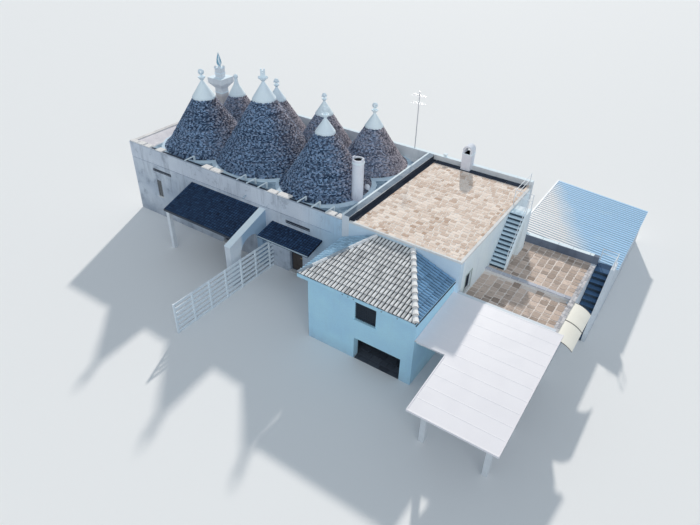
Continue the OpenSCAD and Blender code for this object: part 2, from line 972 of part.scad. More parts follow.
module tile_front_wall() {
  color(white)
    difference() {
      under_roof_wall()
        block(tile_left_x, tile_front_y, 0,
          tile_right_x - tile_left_x, wall, tile_top_height);
      block(tile_left_x + tile_opening_start, tile_front_y - past,
        upper_floor_height + tile_window_sill,
        tile_window_width, wall + 2 * past, tile_window_height);
      block(tile_left_x + tile_opening_start, tile_front_y - past, -past,
        cellar_width, wall + 2 * past, cellar_height + past);
    }
}

module tile_side_walls() {
  color(white)
    for (x = [tile_left_x, tile_right_x - wall])
      under_roof_wall()
        block(x, tile_front_y + wall, 0, wall, tile_depth - wall, tile_top_height);
}

// the slabs between the walls, and the upper floor of the tiled room
module floor_slabs() {
  color(weathered)
    block(tile_left_x + wall, tile_front_y + wall, upper_floor_height - floor_thickness,
      tile_right_x - tile_left_x - 2 * wall, tile_depth - wall, floor_thickness);
  color(weathered)
    block(left_x + stone_wall, front_y + stone_wall, 0,
      middle_left_x - left_x - stone_wall, block_depth - 2 * stone_wall, floor_thickness);
  color(weathered)
    block(middle_right_x, front_y + wall, 0,
      flat_right_x - wall - middle_right_x, block_depth - 2 * wall, floor_thickness);
  color(weathered)
    block(flat_right_x, front_y + wall, 0,
      terrace_length - wall, terrace_depth - 2 * wall, floor_thickness);
}

// Doors and windows

// a frame in a wall that faces the front
module front_frame(x, y, z, width, height) {
  difference() {
    block(x, y, z, width, frame_depth, height);
    block(x + frame_width, y - past, z + frame_width,
      width - 2 * frame_width, frame_depth + 2 * past, height - 2 * frame_width);
  }
}

// the pane that fills such a frame
module front_pane(x, y, z, width, height) {
  block(x + frame_width, y + (frame_depth - glass_thickness) / 2, z + frame_width,
    width - 2 * frame_width, glass_thickness, height - 2 * frame_width);
}

module window_frames() {
  color(shingle)
    front_frame(tile_left_x + tile_opening_start, tile_front_y + frame_depth,
      upper_floor_height + tile_window_sill, tile_window_width, tile_window_height);
  color(shingle)
    front_frame(left_x + slit_window_start, front_y + frame_depth, slit_window_sill,
      slit_window_width, slit_window_height);
  for (start = [left_door_start, right_door_start])
    color(shingle)
      front_frame(left_x + start, front_y + 2 * frame_depth, floor_thickness,
        door_width, door_height);
  color(shingle)
    difference() {
      block(flat_right_x - 2 * frame_depth, front_y + side_window_start,
        terrace_height + side_window_sill, frame_depth, side_window_width, side_window_height);
      block(flat_right_x - 2 * frame_depth - past, front_y + side_window_start + frame_width,
        terrace_height + side_window_sill + frame_width, frame_depth + 2 * past,
        side_window_width - 2 * frame_width, side_window_height - 2 * frame_width);
    }
}

module window_glass() {
  color(dark_glass)
    front_pane(tile_left_x + tile_opening_start, tile_front_y + frame_depth,
      upper_floor_height + tile_window_sill, tile_window_width, tile_window_height);
  color(dark_glass)
    front_pane(left_x + slit_window_start, front_y + frame_depth, slit_window_sill,
      slit_window_width, slit_window_height);
  color(dark_glass)
    block(flat_right_x - 1.5 * frame_depth - glass_thickness / 2,
      front_y + side_window_start + frame_width,
      terrace_height + side_window_sill + frame_width, glass_thickness,
      side_window_width - 2 * frame_width, side_window_height - 2 * frame_width);
}

module door_leaves() {
  for (start = [left_door_start, right_door_start])
    color(shingle)
      block(left_x + start + frame_width,
        front_y + 2 * frame_depth + (frame_depth - leaf_thickness) / 2,
        floor_thickness + frame_width, door_width - 2 * frame_width, leaf_thickness,
        door_height - 2 * frame_width);
}

// Terrace block

module terrace_front_wall() {
  top = pergola_back_height - panel_thickness;
  color(white)
    along_x(flat_right_x, terrace_length)
      polygon([
        [front_y, 0], [front_y + wall, 0], [front_y + wall, terrace_height],
        [front_y + terrace_parapet_width, terrace_height],
        [front_y + terrace_parapet_width, top], [front_y, top]]);
}

module terrace_right_wall() {
  color(white)
    block(terrace_right_x - wall, front_y + wall, 0,
      wall, terrace_depth - 2 * wall, terrace_height);
  // the low parapet stops where the stairs come up
  color(white)
    block(terrace_right_x - terrace_parapet_width, front_y + terrace_parapet_width,
      terrace_height, terrace_parapet_width,
      lower_top_y - front_y - terrace_parapet_width, side_parapet);
}

module terrace_back_wall() {
  inner_y = terrace_back_y - wall;
  color(white)
    along_x(flat_right_x, terrace_length)
      polygon([
        [inner_y, 0], [terrace_back_y, 0], [terrace_back_y, terrace_height],
        [inner_y + terrace_parapet_width, terrace_height],
        [inner_y + terrace_parapet_width, terrace_height + terrace_parapet],
        [inner_y, terrace_height + terrace_parapet]]);
}

module terrace_deck() {
  color(paving)
    block(flat_right_x, front_y + wall, terrace_slab_bottom,
      terrace_length - wall, terrace_depth - 2 * wall, terrace_slab);
}

// Stairs

// outline of a flight from its foot to the back of its landing
function flight(foot, run_back, base, rise, going, risers) = concat(
  [[foot, base]],
  [for (i = [0:risers - 1]) each [
    [foot + i * going, base + i * rise], [foot + i * going, base + (i + 1) * rise]]],
  [[run_back, base + risers * rise], [run_back, base]]);

module upper_stair() {
  landing_y = upper_top_y + upper_landing;
  slope = upper_rise / upper_going;
  // the open room between the flight and the wall under the landing
  room = [
    [upper_foot_y + flight_thickness / slope, terrace_height],
    [upper_foot_y + flight_thickness / slope, terrace_height - terrace_slab],
    [upper_top_y, terrace_height - terrace_slab],
    [upper_top_y, terrace_height + upper_run * slope - flight_thickness]];
  color(white)
    along_x(flat_right_x, upper_stair_width)
      difference() {
        polygon(flight(upper_foot_y, landing_y, terrace_height, upper_rise, upper_going,
          upper_risers));
        polygon(room);
      }
  color(white)
    along_x(upper_kerb_x, stair_kerb)
      difference() {
        polygon([
          [upper_foot_y, terrace_height],
          [upper_foot_y, terrace_height + upper_rise + stair_kerb_rise],
          [upper_top_y, flat_height + stair_kerb_rise],
          [landing_y, flat_height + stair_kerb_rise], [landing_y, terrace_height]]);
        polygon(room);
      }
}

module lower_stair() {
  color(white)
    along_x(terrace_right_x, lower_stair_width)
      polygon(flight(lower_foot_y, terrace_back_y, 0, lower_rise, lower_going, lower_risers));
}

module lower_stair_wall() {
  color(white)
    along_x(stair_wall_x, stair_wall)
      polygon([
        [lower_foot_y, 0], [lower_foot_y, lower_rise + stair_wall_rise],
        [lower_top_y, terrace_height + stair_wall_rise],
        [terrace_back_y, terrace_height + stair_wall_rise], [terrace_back_y, 0]]);
}

// a round tube between two points
module tube(from, to, radius) {
  run = to - from;
  length = norm(run);
  translate(from)
    rotate([0, acos(run[2] / length), atan2(run[1], run[0])])
      cylinder(h = length, r = radius);
}

module railings() {
  rail = rail_radius * 0.8;
  // at the landing of the lower flight
  wall_x = stair_wall_x + stair_wall / 2;
  inner_x = terrace_right_x + 2 * rail_radius;
  front_post_y = lower_top_y + 2 * rail_radius;
  back_post_y = terrace_back_y - 2 * rail_radius;
  wall_top = terrace_height + stair_wall_rise;
  top = terrace_height + rail_height;
  color(white)
    union() {
      tube([wall_x, front_post_y, wall_top], [wall_x, front_post_y, top], rail_radius);
      tube([wall_x, back_post_y, wall_top], [wall_x, back_post_y, top], rail_radius);
      tube([inner_x, back_post_y, terrace_height], [inner_x, back_post_y, top], rail_radius);
      tube([wall_x, front_post_y, top - 2 * rail], [wall_x, back_post_y, top - 2 * rail], rail);
      tube([wall_x, back_post_y, top - 2 * rail], [inner_x, back_post_y, top - 2 * rail], rail);
      tube([wall_x, back_post_y, (wall_top + top) / 2],
        [inner_x, back_post_y, (wall_top + top) / 2], rail);
    }
  // at the landing of the upper flight, with a handrail down the open side
  kerb_x = upper_kerb_x + stair_kerb / 2;
  landing_post_y = upper_top_y + 2 * rail_radius;
  landing_back_y = upper_top_y + upper_landing - 2 * rail_radius;
  kerb_top = flat_height + stair_kerb_rise;
  upper_top = flat_height + rail_height;
  near_x = flat_right_x - coping_width / 2;
  roof_post_y = back_y - parapet_width - 2 * rail_radius;
  coping_top = flat_height + coping_thickness;
  foot_y = upper_foot_y + 2 * rail_radius;
  foot_base = terrace_height + upper_rise + stair_kerb_rise;
  foot_top = foot_base + rail_height;
  color(white)
    union() {
      tube([kerb_x, landing_post_y, kerb_top], [kerb_x, landing_post_y, upper_top],
        rail_radius);
      tube([kerb_x, landing_back_y, kerb_top], [kerb_x, landing_back_y, upper_top],
        rail_radius);
      tube([near_x, landing_back_y, coping_top], [near_x, landing_back_y, upper_top],
        rail_radius);
      tube([near_x, roof_post_y, coping_top], [near_x, roof_post_y, upper_top],
        rail_radius);
      for (z = [upper_top - 2 * rail, (coping_top + upper_top) / 2]) {
        tube([kerb_x, landing_post_y, z], [kerb_x, landing_back_y, z], rail);
        tube([kerb_x, landing_back_y, z], [near_x, landing_back_y, z], rail);
        tube([near_x, landing_back_y, z], [near_x, roof_post_y, z], rail);
      }
      tube([kerb_x, foot_y, foot_base], [kerb_x, foot_y, foot_top], rail_radius);
      tube([kerb_x, foot_y, foot_top - 2 * rail],
        [kerb_x, landing_post_y, upper_top - 2 * rail], rail);
    }
}

// Shed

shed_left_x = flat_right_x;
shed_right_x = stair_wall_x + stair_wall;
shed_back_y = terrace_back_y + shed_depth;
shed_edge_x = shed_right_x + shed_overhang;
shed_fall = (shed_high - shed_low) / (shed_edge_x - shed_left_x);

module shed_walls() {
  color(white)
    intersection() {
      union() {
        block(shed_left_x, back_y, 0, shed_wall, shed_back_y - back_y, shed_high);
        block(shed_left_x, shed_back_y - shed_wall, 0,
          shed_right_x - shed_left_x, shed_wall, shed_high);
        block(shed_right_x - shed_wall, terrace_back_y, 0,
          shed_wall, shed_depth, shed_high);
      }
      along_y(terrace_back_y - past, shed_depth + 2 * past)
        polygon([
          [shed_left_x - past, -past], [shed_edge_x, -past],
          [shed_edge_x, shed_low - sheet_thickness],
          [shed_left_x, shed_high - sheet_thickness],
          [shed_left_x - past, shed_high - sheet_thickness]]);
    }
}

module shed_roof() {
  angle = atan(shed_fall);
  length = (shed_edge_x - shed_left_x) / cos(angle);
  ribs = floor(shed_depth / rib_pitch);
  first = (shed_depth - (ribs - 1) * rib_pitch - rib_width) / 2;
  color([0.80, 0.87, 0.93])
    translate([shed_left_x, terrace_back_y, shed_high - sheet_thickness])
      rotate([0, angle, 0])
        rotate([90, 0, 90])
          linear_extrude(length)
            polygon(concat(
              [[0, 0], [0, sheet_thickness]],
              [for (i = [0:ribs - 1]) each [
                [first + i * rib_pitch, sheet_thickness],
                [first + i * rib_pitch + rib_width / 4, sheet_thickness + rib_height],
                [first + i * rib_pitch + rib_width * 3 / 4, sheet_thickness + rib_height],
                [first + i * rib_pitch + rib_width, sheet_thickness]]],
              [[shed_depth, sheet_thickness], [shed_depth, 0]]));
}

// Pergola

pergola_left_x = flat_right_x + pergola_setback;
pergola_right_x = terrace_right_x + pergola_overhang;
pergola_front_y = front_y - pergola_depth;
first_rafter_x = pergola_left_x + rafter_pitch / 2;

// height of the upper face of the pergola roof at a place in Y
function pergola_z(y) = pergola_back_height
  - (pergola_back_height - pergola_front_height) * (front_y - y) / pergola_depth;

// a strip that follows the slope, from one place in Y to another, between two depths
module sloped_strip(from_y, to_y, top_drop, bottom_drop) {
  polygon([
    [from_y, pergola_z(from_y) - top_drop], [to_y, pergola_z(to_y) - top_drop],
    [to_y, pergola_z(to_y) - bottom_drop], [from_y, pergola_z(from_y) - bottom_drop]]);
}

module pergola_roof() {
  color(cream)
    intersection() {
      linear_extrude(pergola_back_height)
        polygon([
          [tile_right_x, tile_front_y], [pergola_left_x, tile_front_y],
          [pergola_left_x, pergola_front_y], [pergola_right_x, pergola_front_y],
          [pergola_right_x, front_y], [tile_right_x, front_y]]);
      along_x(tile_right_x, pergola_right_x - tile_right_x)
        sloped_strip(pergola_front_y, front_y, 0, panel_thickness);
    }
}

rafter_bottom = panel_thickness + rafter_depth;
beam_bottom = rafter_bottom + beam_depth;
rafters = floor((terrace_right_x - first_rafter_x) / rafter_pitch) + 1;
last_rafter_x = first_rafter_x + (rafters - 1) * rafter_pitch;
front_beam_y = pergola_front_y + post_setback;
back_beam_y = tile_front_y + post_side;

module pergola_rafters() {
  color(cream)
    for (i = [0:rafters - 1])
      along_x(first_rafter_x + i * rafter_pitch - rafter_width / 2, rafter_width)
        sloped_strip(pergola_front_y + past, front_y, panel_thickness, rafter_bottom);
  // the wide part beside the tiled room has two short ones
  color(cream)
    for (i = [1:2])
      along_x(first_rafter_x - i * rafter_pitch + rafter_pitch / 4, rafter_width)
        sloped_strip(tile_front_y + past, front_y, panel_thickness, rafter_bottom);
}

module pergola_beams() {
  color(cream)
    along_x(first_rafter_x - post_side / 2, last_rafter_x - first_rafter_x + post_side)
      sloped_strip(front_beam_y - rafter_width / 2, front_beam_y + rafter_width / 2,
        rafter_bottom, beam_bottom);
  color(cream)
    along_x(tile_right_x, last_rafter_x + post_side / 2 - tile_right_x)
      sloped_strip(back_beam_y - rafter_width / 2, back_beam_y + rafter_width / 2,
        rafter_bottom, beam_bottom);
}

module pergola_posts() {
  color(cream)
    for (x = [first_rafter_x, last_rafter_x])
      for (y = [front_beam_y, back_beam_y])
        along_x(x - post_side / 2, post_side)
          polygon([
            [y - post_side / 2, 0], [y + post_side / 2, 0],
            [y + post_side / 2, pergola_z(y + post_side / 2) - beam_bottom],
            [y - post_side / 2, pergola_z(y - post_side / 2) - beam_bottom]]);
}

// Awning

module barrel_awning() {
  bend = (pow(awning_reach, 2) + pow(awning_drop, 2)) / (2 * awning_drop);
  panel = (awning_length - (awning_panels - 1) * awning_joint) / awning_panels;
  for (i = [0:awning_panels - 1])
    color(cream)
      along_y(front_y + awning_start + i * (panel + awning_joint), panel)
        translate([terrace_right_x, awning_top - bend])
          intersection() {
            difference() {
              circle(bend, $fn = 180);
              circle(bend - awning_skin, $fn = 180);
            }
            square([awning_reach, bend + past]);
          }
}

// Canopies

canopy_end_x = left_x + canopy_start + canopy_length;

module sloped_canopy(x, length, depth, top, front) {
  along_x(x, length)
    polygon([
      [front_y, top], [front_y, top - canopy_thickness],
      [front_y - depth, front - canopy_thickness], [front_y - depth, front]]);
}

module canopy_roofs() {
  color(shingle)
    sloped_canopy(left_x + canopy_start, canopy_length, canopy_depth, canopy_top, canopy_front);
  color(shingle)
    sloped_canopy(canopy_end_x + wing_wall + small_canopy_gap, small_canopy_length,
      small_canopy_depth, small_canopy_top, small_canopy_front);
}

// a sloped wing wall that ends in a pillar, with an arched opening behind the pillar
module canopy_wing_wall() {
  slope = (canopy_top - canopy_front) / canopy_depth;
  end_y = front_y - canopy_depth - wing_reach;
  arch_y = end_y + pillar_length + arch_width / 2;
  spring = arch_height - arch_width / 2;
  color(white)
    along_x(canopy_end_x, wing_wall)
      difference() {
        polygon([
          [front_y, canopy_top + wing_rise],
          [end_y, canopy_front - wing_reach * slope + wing_rise],
          [end_y, 0], [front_y, 0]]);
        translate([arch_y, spring])
          circle(arch_width / 2);
        translate([arch_y - arch_width / 2, -past])
          square([arch_width, spring + past]);
      }
}

// two posts under the front edge, cut to the slope of the canopy
module canopy_posts() {
  post_y = front_y - canopy_depth + canopy_post / 2;
  slope = (canopy_top - canopy_front) / canopy_depth;
  for (x = [left_x + canopy_start, canopy_end_x - canopy_post])
    color(white)
      along_x(x, canopy_post)
        polygon([
          [post_y, 0], [post_y + canopy_post, 0],
          [post_y + canopy_post, canopy_front - canopy_thickness + 1.5 * canopy_post * slope],
          [post_y, canopy_front - canopy_thickness + canopy_post / 2 * slope]]);
}

// Screen

module slatted_screen() {
  x = canopy_end_x + wing_wall + screen_gap;
  length = screen_first + screen_bays * screen_bay;
  pitch = (screen_height - slat_height) / (screen_slats - 1);
  color(white)
    union() {
      for (i = [0:screen_bays])
        block(x, front_y - screen_first - i * screen_bay - screen_post / 2, 0,
          screen_post, screen_post, screen_height);
      for (i = [0:screen_slats - 1])
        block(x + (screen_post - slat_thickness) / 2, front_y - length, i * pitch,
          slat_thickness, length, slat_height);
    }
}

// Chimneys

stack_place = [stack_side / 2, block_depth - stack_back];
stack_top = main_height + stack_height;
hood_top = stack_top + hood_height;

// a square block that widens or narrows evenly, made of two crossed prisms
module square_taper(bottom, top, height) {
  intersection() {
    along_y(-max(bottom, top), 2 * max(bottom, top))
      polygon([[-bottom / 2, 0], [bottom / 2, 0], [top / 2, height], [-top / 2, height]]);
    along_x(-max(bottom, top), 2 * max(bottom, top))
      polygon([[-bottom / 2, 0], [bottom / 2, 0], [top / 2, height], [-top / 2, height]]);
  }
}

module rear_chimney() {
  color(white)
    at_place(stack_place)
      union() {
        translate([-stack_side / 2, -stack_side / 2, deck_height])
          cube([stack_side, stack_side, stack_top - deck_height]);
        difference() {
          union() {
            translate([0, 0, stack_top])
              square_taper(stack_side, hood_side, hood_flare);
            translate([-hood_side / 2, -hood_side / 2, stack_top + hood_flare])
              cube([hood_side, hood_side, hood_height - hood_flare]);
          }
          translate([0, 0, stack_top + hood_height / 2])
            square_taper(pot_side, hood_side * 2 - pot_side - 2 * hood_lip, hood_height);
        }
        translate([-pot_side / 2, -pot_side / 2, stack_top])
          cube([pot_side, pot_side, hood_height + pot_height]);
        for (x = [-1, 1], y = [-1, 1])
          translate([x * (pot_side / 2 - corner_ball / 2), y * (pot_side / 2 - corner_ball / 2),
            hood_top + pot_height + corner_ball / 2])
            sphere(corner_ball, $fn = 24);
      }
}

module rear_finial() {
  color([0.45, 0.68, 0.72])
    at_place(stack_place)
      translate([0, 0, hood_top + pot_height])
        rotate_extrude()
          polygon([
            [0, 0], [finial_radius * 0.55, 0], [finial_radius * 0.5, finial_height * 0.1],
            [finial_radius, finial_height * 0.28], [finial_radius * 0.75, finial_height * 0.55],
            [0, finial_height]]);
}

// an open round flue with a stone on each side of its rim
module round_chimney() {
  inner = round_chimney_radius - flue_wall;
  difference() {
    union() {
      cylinder(h = round_chimney_height, r = round_chimney_radius);
      for (side = [-1, 1])
        translate([side * (inner + flue_wall / 2), 0, round_chimney_height - past])
          translate([-flue_wall / 2, -rim_stone, 0])
            cube([flue_wall, 2 * rim_stone, rim_stone + past]);
    }
    translate([0, 0, round_chimney_height - flue_depth])
      cylinder(h = flue_depth + past + rim_stone, r = inner);
  }
}

// a square pot with an arched hood that is open to the front and the back
module hooded_pot() {
  pot_top = flat_parapet_height + back_pot_height;
  pot_front_y = back_y - back_pot_side;
  arch = back_pot_side / 2;
  arch_foot = pot_hood_height - arch;
  union() {
    along_x(corner_x + back_pot_start, back_pot_side)
      polygon([
        [pot_front_y, flat_height], [back_y - parapet_width, flat_height],
        [back_y - parapet_width, flat_parapet_height], [back_y, flat_parapet_height],
        [back_y, pot_top], [pot_front_y, pot_top]]);
    along_y(pot_front_y, back_pot_side)
      translate([corner_x + back_pot_start + arch, pot_top])
        difference() {
          union() {
            translate([-arch, -past])
              square([2 * arch, arch_foot + past]);
            translate([0, arch_foot])
              circle(arch);
          }
          translate([-arch + pot_hood_wall, 0])
            square([2 * arch - 2 * pot_hood_wall, arch_foot]);
          translate([0, arch_foot])
            circle(arch - pot_hood_wall);
        }
  }
}

module roof_chimneys() {
  color(white)
    at_place(round_chimney_place)
      translate([0, 0, deck_height])
        round_chimney();
  color(white)
    at_place(vent_place)
      translate([0, 0, deck_height])
        rotate_extrude()
          polygon([
            [0, 0], [vent_radius, 0], [vent_radius, vent_height * 0.65],
            [vent_radius * 0.75, vent_height * 0.87], [0, vent_height]]);
  color(white)
    hooded_pot();
}

module antenna_mast() {
  color([0.55, 0.56, 0.58])
    translate([left_x + mast_start, back_y - parapet_width / 2, flat_parapet_height])
      union() {
        cylinder(h = mast_height, r = mast_radius);
        for (arm = [0.8, 0.93])
          translate([0, 0, mast_height * arm])
            rotate([0, 90, 0])
              translate([0, 0, -mast_arm / 2])
                cylinder(h = mast_arm, r = mast_radius / 2);
      }
}

main_front_wall();
main_back_wall();
main_left_wall();
middle_wall();
main_roof_deck();
cone_front_left();
cone_front_middle();
cone_front_right();
cone_back_left();
cone_back_middle();
cone_back_right();
cone_right_end();
cone_skirts();
cone_caps();
flat_front_wall();
flat_back_wall();
flat_right_wall();
flat_roof();
roof_copings();
tile_front_wall();
tile_side_walls();
tile_roof();
floor_slabs();
window_frames();
window_glass();
door_leaves();
terrace_front_wall();
terrace_right_wall();
terrace_back_wall();
terrace_deck();
upper_stair();
lower_stair();
lower_stair_wall();
railings();
shed_walls();
shed_roof();
pergola_posts();
pergola_beams();
pergola_rafters();
pergola_roof();
barrel_awning();
canopy_roofs();
canopy_wing_wall();
canopy_posts();
slatted_screen();
rear_chimney();
rear_finial();
roof_chimneys();
antenna_mast();
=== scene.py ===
"""Looks of the trullo house: stones, tiles, paving, shingles, plaster and light."""
import random
from math import cos, hypot, pi, radians, sin, sqrt, tau

import bpy
import numpy as np
from mathutils import Matrix, Vector


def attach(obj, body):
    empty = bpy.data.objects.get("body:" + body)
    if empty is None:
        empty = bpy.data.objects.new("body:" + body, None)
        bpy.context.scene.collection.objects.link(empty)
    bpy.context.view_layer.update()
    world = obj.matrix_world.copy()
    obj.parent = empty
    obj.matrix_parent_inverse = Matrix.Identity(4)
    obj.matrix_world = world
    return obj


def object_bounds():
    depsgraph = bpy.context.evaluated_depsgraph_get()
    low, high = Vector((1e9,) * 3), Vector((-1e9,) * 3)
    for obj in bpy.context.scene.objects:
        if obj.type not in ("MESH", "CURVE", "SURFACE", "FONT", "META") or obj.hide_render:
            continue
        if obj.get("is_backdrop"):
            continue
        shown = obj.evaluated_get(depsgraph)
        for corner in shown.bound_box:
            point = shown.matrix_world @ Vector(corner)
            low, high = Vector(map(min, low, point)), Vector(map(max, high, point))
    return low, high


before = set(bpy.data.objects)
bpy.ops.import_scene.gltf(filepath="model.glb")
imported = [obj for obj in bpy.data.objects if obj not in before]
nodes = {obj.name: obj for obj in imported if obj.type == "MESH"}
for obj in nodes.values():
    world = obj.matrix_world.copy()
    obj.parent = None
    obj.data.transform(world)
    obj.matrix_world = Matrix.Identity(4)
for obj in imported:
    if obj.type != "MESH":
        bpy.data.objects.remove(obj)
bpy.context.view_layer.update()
rng = random.Random(7)
uniform = rng.uniform
scene = bpy.context.scene

# camera of the photograph, in millimetres, metres and radians
FILM_MM, LENS_MM = 36, 29.7
CAMERA_PLACE = (23.805, -27.21, 21.073)
YAW, PITCH, ROLL = -0.579, 0.612, 0.028

# the part's left front corner in the row frame, in metres
LEFT, FRONT = -8.73, -5.05
# main sizes of the part, in metres from that corner at the ground
DECK, PARAPET, BACK_PARAPET = 4.7, 5.05, 5.4
MAIN_LENGTH, DEPTH = 17.46, 10.1
FLAT_RIGHT, FLAT_TOP, FLAT_PARAPET = 24.51, 5.06, 5.14
EAVE_LEFT, EAVE_RIGHT, EAVE_FRONT = 17.59, 24.31, -4.06
TERRACE_RIGHT, TERRACE_BACK, TERRACE_TOP, TERRACE_WALL = 29.5, 8.45, 2.45, 2.65
# where the dark gutter behind the front parapet ends, and the limewash at the left
GUTTER_END, LIME_END = 0.92, 1.55
# distance from the left, distance from the front, radius, rise, height of cap
CONES = {
    "left": (3.894, 3.55, 2.84, 4.34, 1.06),
    "middle": (8.538, 4.262, 3.26, 5.00, 1.06),
    "right": (13.802, 3.5, 2.7, 4.14, 0.82),
    "back_left": (2.802, 7.71, 1.9, 2.9, 0.82),
    "back_middle": (6.975, 7.28, 2.33, 3.56, 0.82),
    "back_right": (10.851, 7.43, 2.18, 3.4, 0.82),
    "right_end": (14.605, 7.6025, 2.18, 3.4, 0.82),
}
# the round stack and the vent, in the feet of the cones: x, y, radius, height over the deck
ROUND_STACK = (16.491, 2.949)
STACKS = ((*ROUND_STACK, 0.36, 2.6), (16.377, 4.192, 0.18, 0.45))


def place(x, y, z=0.0):
    """A point measured from the left front corner, in the row frame."""
    return np.array((LEFT + x, FRONT + y, z))


def on_circle(cx, cy, radius, angle, z):
    """A point on a level circle, in the row frame."""
    return place(cx + radius * cos(angle), cy + radius * sin(angle), z)


def corners(x0, x1, y0, y1):
    """The corners of a rectangle, anticlockwise from above."""
    return (x0, y0), (x1, y0), (x1, y1), (x0, y1)


def clamp(value):
    return min(1.0, max(0.0, value))


def tone(middle, spread):
    """A random tone between 0, the darkest, and 1, the palest."""
    return clamp(rng.gauss(middle, spread))


# materials
class Tree:
    """The nodes of a material or of the world."""

    def __init__(self, owner):
        owner.use_nodes = True
        self.tree = owner.node_tree

    def feed(self, socket, value):
        """Gives an input its value or colour, or links it to another socket."""
        if isinstance(value, bpy.types.NodeSocket):
            self.tree.links.new(value, socket)
        else:
            socket.default_value = (*value, 1.0) if socket.type == "RGBA" else value

    def node(self, kind, **inputs):
        node = self.tree.nodes.new("ShaderNode" + kind)
        for name, value in inputs.items():
            self.feed(node.inputs[name.replace("_", " ")], value)
        return node

    def math(self, kind, a, b):
        node = self.node("Math")
        node.operation = kind
        self.feed(node.inputs[0], a)
        self.feed(node.inputs[1], b)
        return node.outputs[0]

    def seen(self):
        """1 where a ray comes from the camera, also by way of a mirror or through glass."""
        path = self.node("LightPath").outputs
        return self.math("MAXIMUM", path["Is Camera Ray"], self.math(
            "MAXIMUM", path["Is Glossy Ray"], path["Is Transmission Ray"]))


class Shade(Tree):
    """One procedural material, built from its colour outwards."""

    def __init__(self, name, rough=0.85, metallic=0.0, gloss=0.5):
        self.mat = bpy.data.materials.new(name)
        super().__init__(self.mat)
        self.inputs = self.tree.nodes["Principled BSDF"].inputs
        self.feed(self.inputs["Roughness"], rough)
        self.feed(self.inputs["Metallic"], metallic)
        self.feed(self.inputs["Specular IOR Level"], gloss)
        self.coord = self.node("TexCoord").outputs["Object"]

    def noise(self, size, detail=4.0, rough=0.55, scale=(1, 1, 1)):
        spot = self.node("Mapping", Vector=self.coord, Scale=scale).outputs["Vector"]
        return self.node("TexNoise", Vector=spot, Scale=1.0 / size, Detail=detail,
                         Roughness=rough).outputs["Fac"]

    def ramp(self, value, low, high):
        """From 0 at low to 1 at high."""
        return self.node("MapRange", Value=value, From_Min=low, From_Max=high).outputs["Result"]

    def mix(self, factor, a, b, share=1.0):
        """Colour a, and colour b, up to a share, where the factor is high."""
        if share != 1.0:
            factor = self.math("MULTIPLY", factor, share)
        node = self.node("Mix")
        node.data_type = "RGBA"
        for i, value in ((0, factor), (6, a), (7, b)):
            self.feed(node.inputs[i], value)
        return node.outputs[2]

    def layer(self, name):
        """A number that the mesh has for each face."""
        node = self.node("Attribute")
        node.attribute_name = name
        return node.outputs["Fac"]

    def part_of(self, axis):
        return self.node("SeparateXYZ", Vector=self.coord).outputs[axis]

    def bump(self, value, strength, distance):
        node = self.node("Bump", Height=value, Strength=strength, Distance=distance)
        self.feed(self.inputs["Normal"], node.outputs["Normal"])

    def done(self, colour, rough=None):
        self.feed(self.inputs["Base Color"], colour)
        if rough is not None:
            self.feed(self.inputs["Roughness"], rough)
        return self.mat


def plaster(name, clean, worn, grime, streak=0.3, foot=0.5, patches=0.0, zones=()):
    """Limewashed plaster: cloudy colour, rain streaks in places and a darker foot.

    Each zone is an axis, where it starts, where it is full, its colour and its share."""
    s = Shade(name, rough=0.9, gloss=0.3)
    colour = s.mix(s.ramp(s.noise(1.5, 6), 0.36, 0.66), clean, worn)
    for axis, start, full, tinted, share in zones:
        colour = s.mix(s.ramp(s.part_of(axis), start, full), colour, tinted, share)
    runs = s.ramp(s.noise(0.6, 6, 0.62, (2.2, 2.2, 0.2)), 0.5, 0.72)
    runs = s.math("MULTIPLY", runs, s.ramp(s.noise(2.4, 3), 0.42, 0.62))
    colour = s.mix(runs, colour, grime, streak)
    if patches:
        colour = s.mix(s.ramp(s.noise(0.75, 8, 0.7), 0.56, 0.66), colour, grime, patches)
    low = s.math("MULTIPLY", s.ramp(s.part_of("Z"), foot, 0.0), s.noise(0.35, 4))
    colour = s.mix(low, colour, grime, 0.8)
    fine = s.noise(0.05, 6, 0.65)
    colour = s.mix(s.ramp(fine, 0.45, 0.75), colour, grime, 0.18)
    s.bump(s.math("ADD", fine, s.noise(0.4, 3)), 0.35, 0.02)
    return s.done(colour)


def stone(name, dark, pale, lichen, spots=0.4, grain_size=0.09, rough=0.92, pits=0.45,
              warm=None):
    """Rough stones, each with its own tint, with lichen and pitting."""
    s = Shade(name, rough=rough, gloss=0.25)
    colour = s.mix(s.layer("tint"), dark, pale)
    if warm:
        colour = s.mix(s.layer("warm"), colour, s.mix(s.layer("tint"), *warm))
    grain = s.noise(grain_size, 7, 0.7)
    colour = s.mix(s.ramp(grain, 0.35, 0.7), colour, dark, pits)
    patch = s.ramp(s.noise(grain_size * 4.7, 6, 0.68), 0.56, 0.7)
    colour = s.mix(patch, colour, lichen, spots)
    s.bump(s.math("ADD", grain, s.noise(0.02, 4)), 0.5, 0.02)
    return s.done(colour)


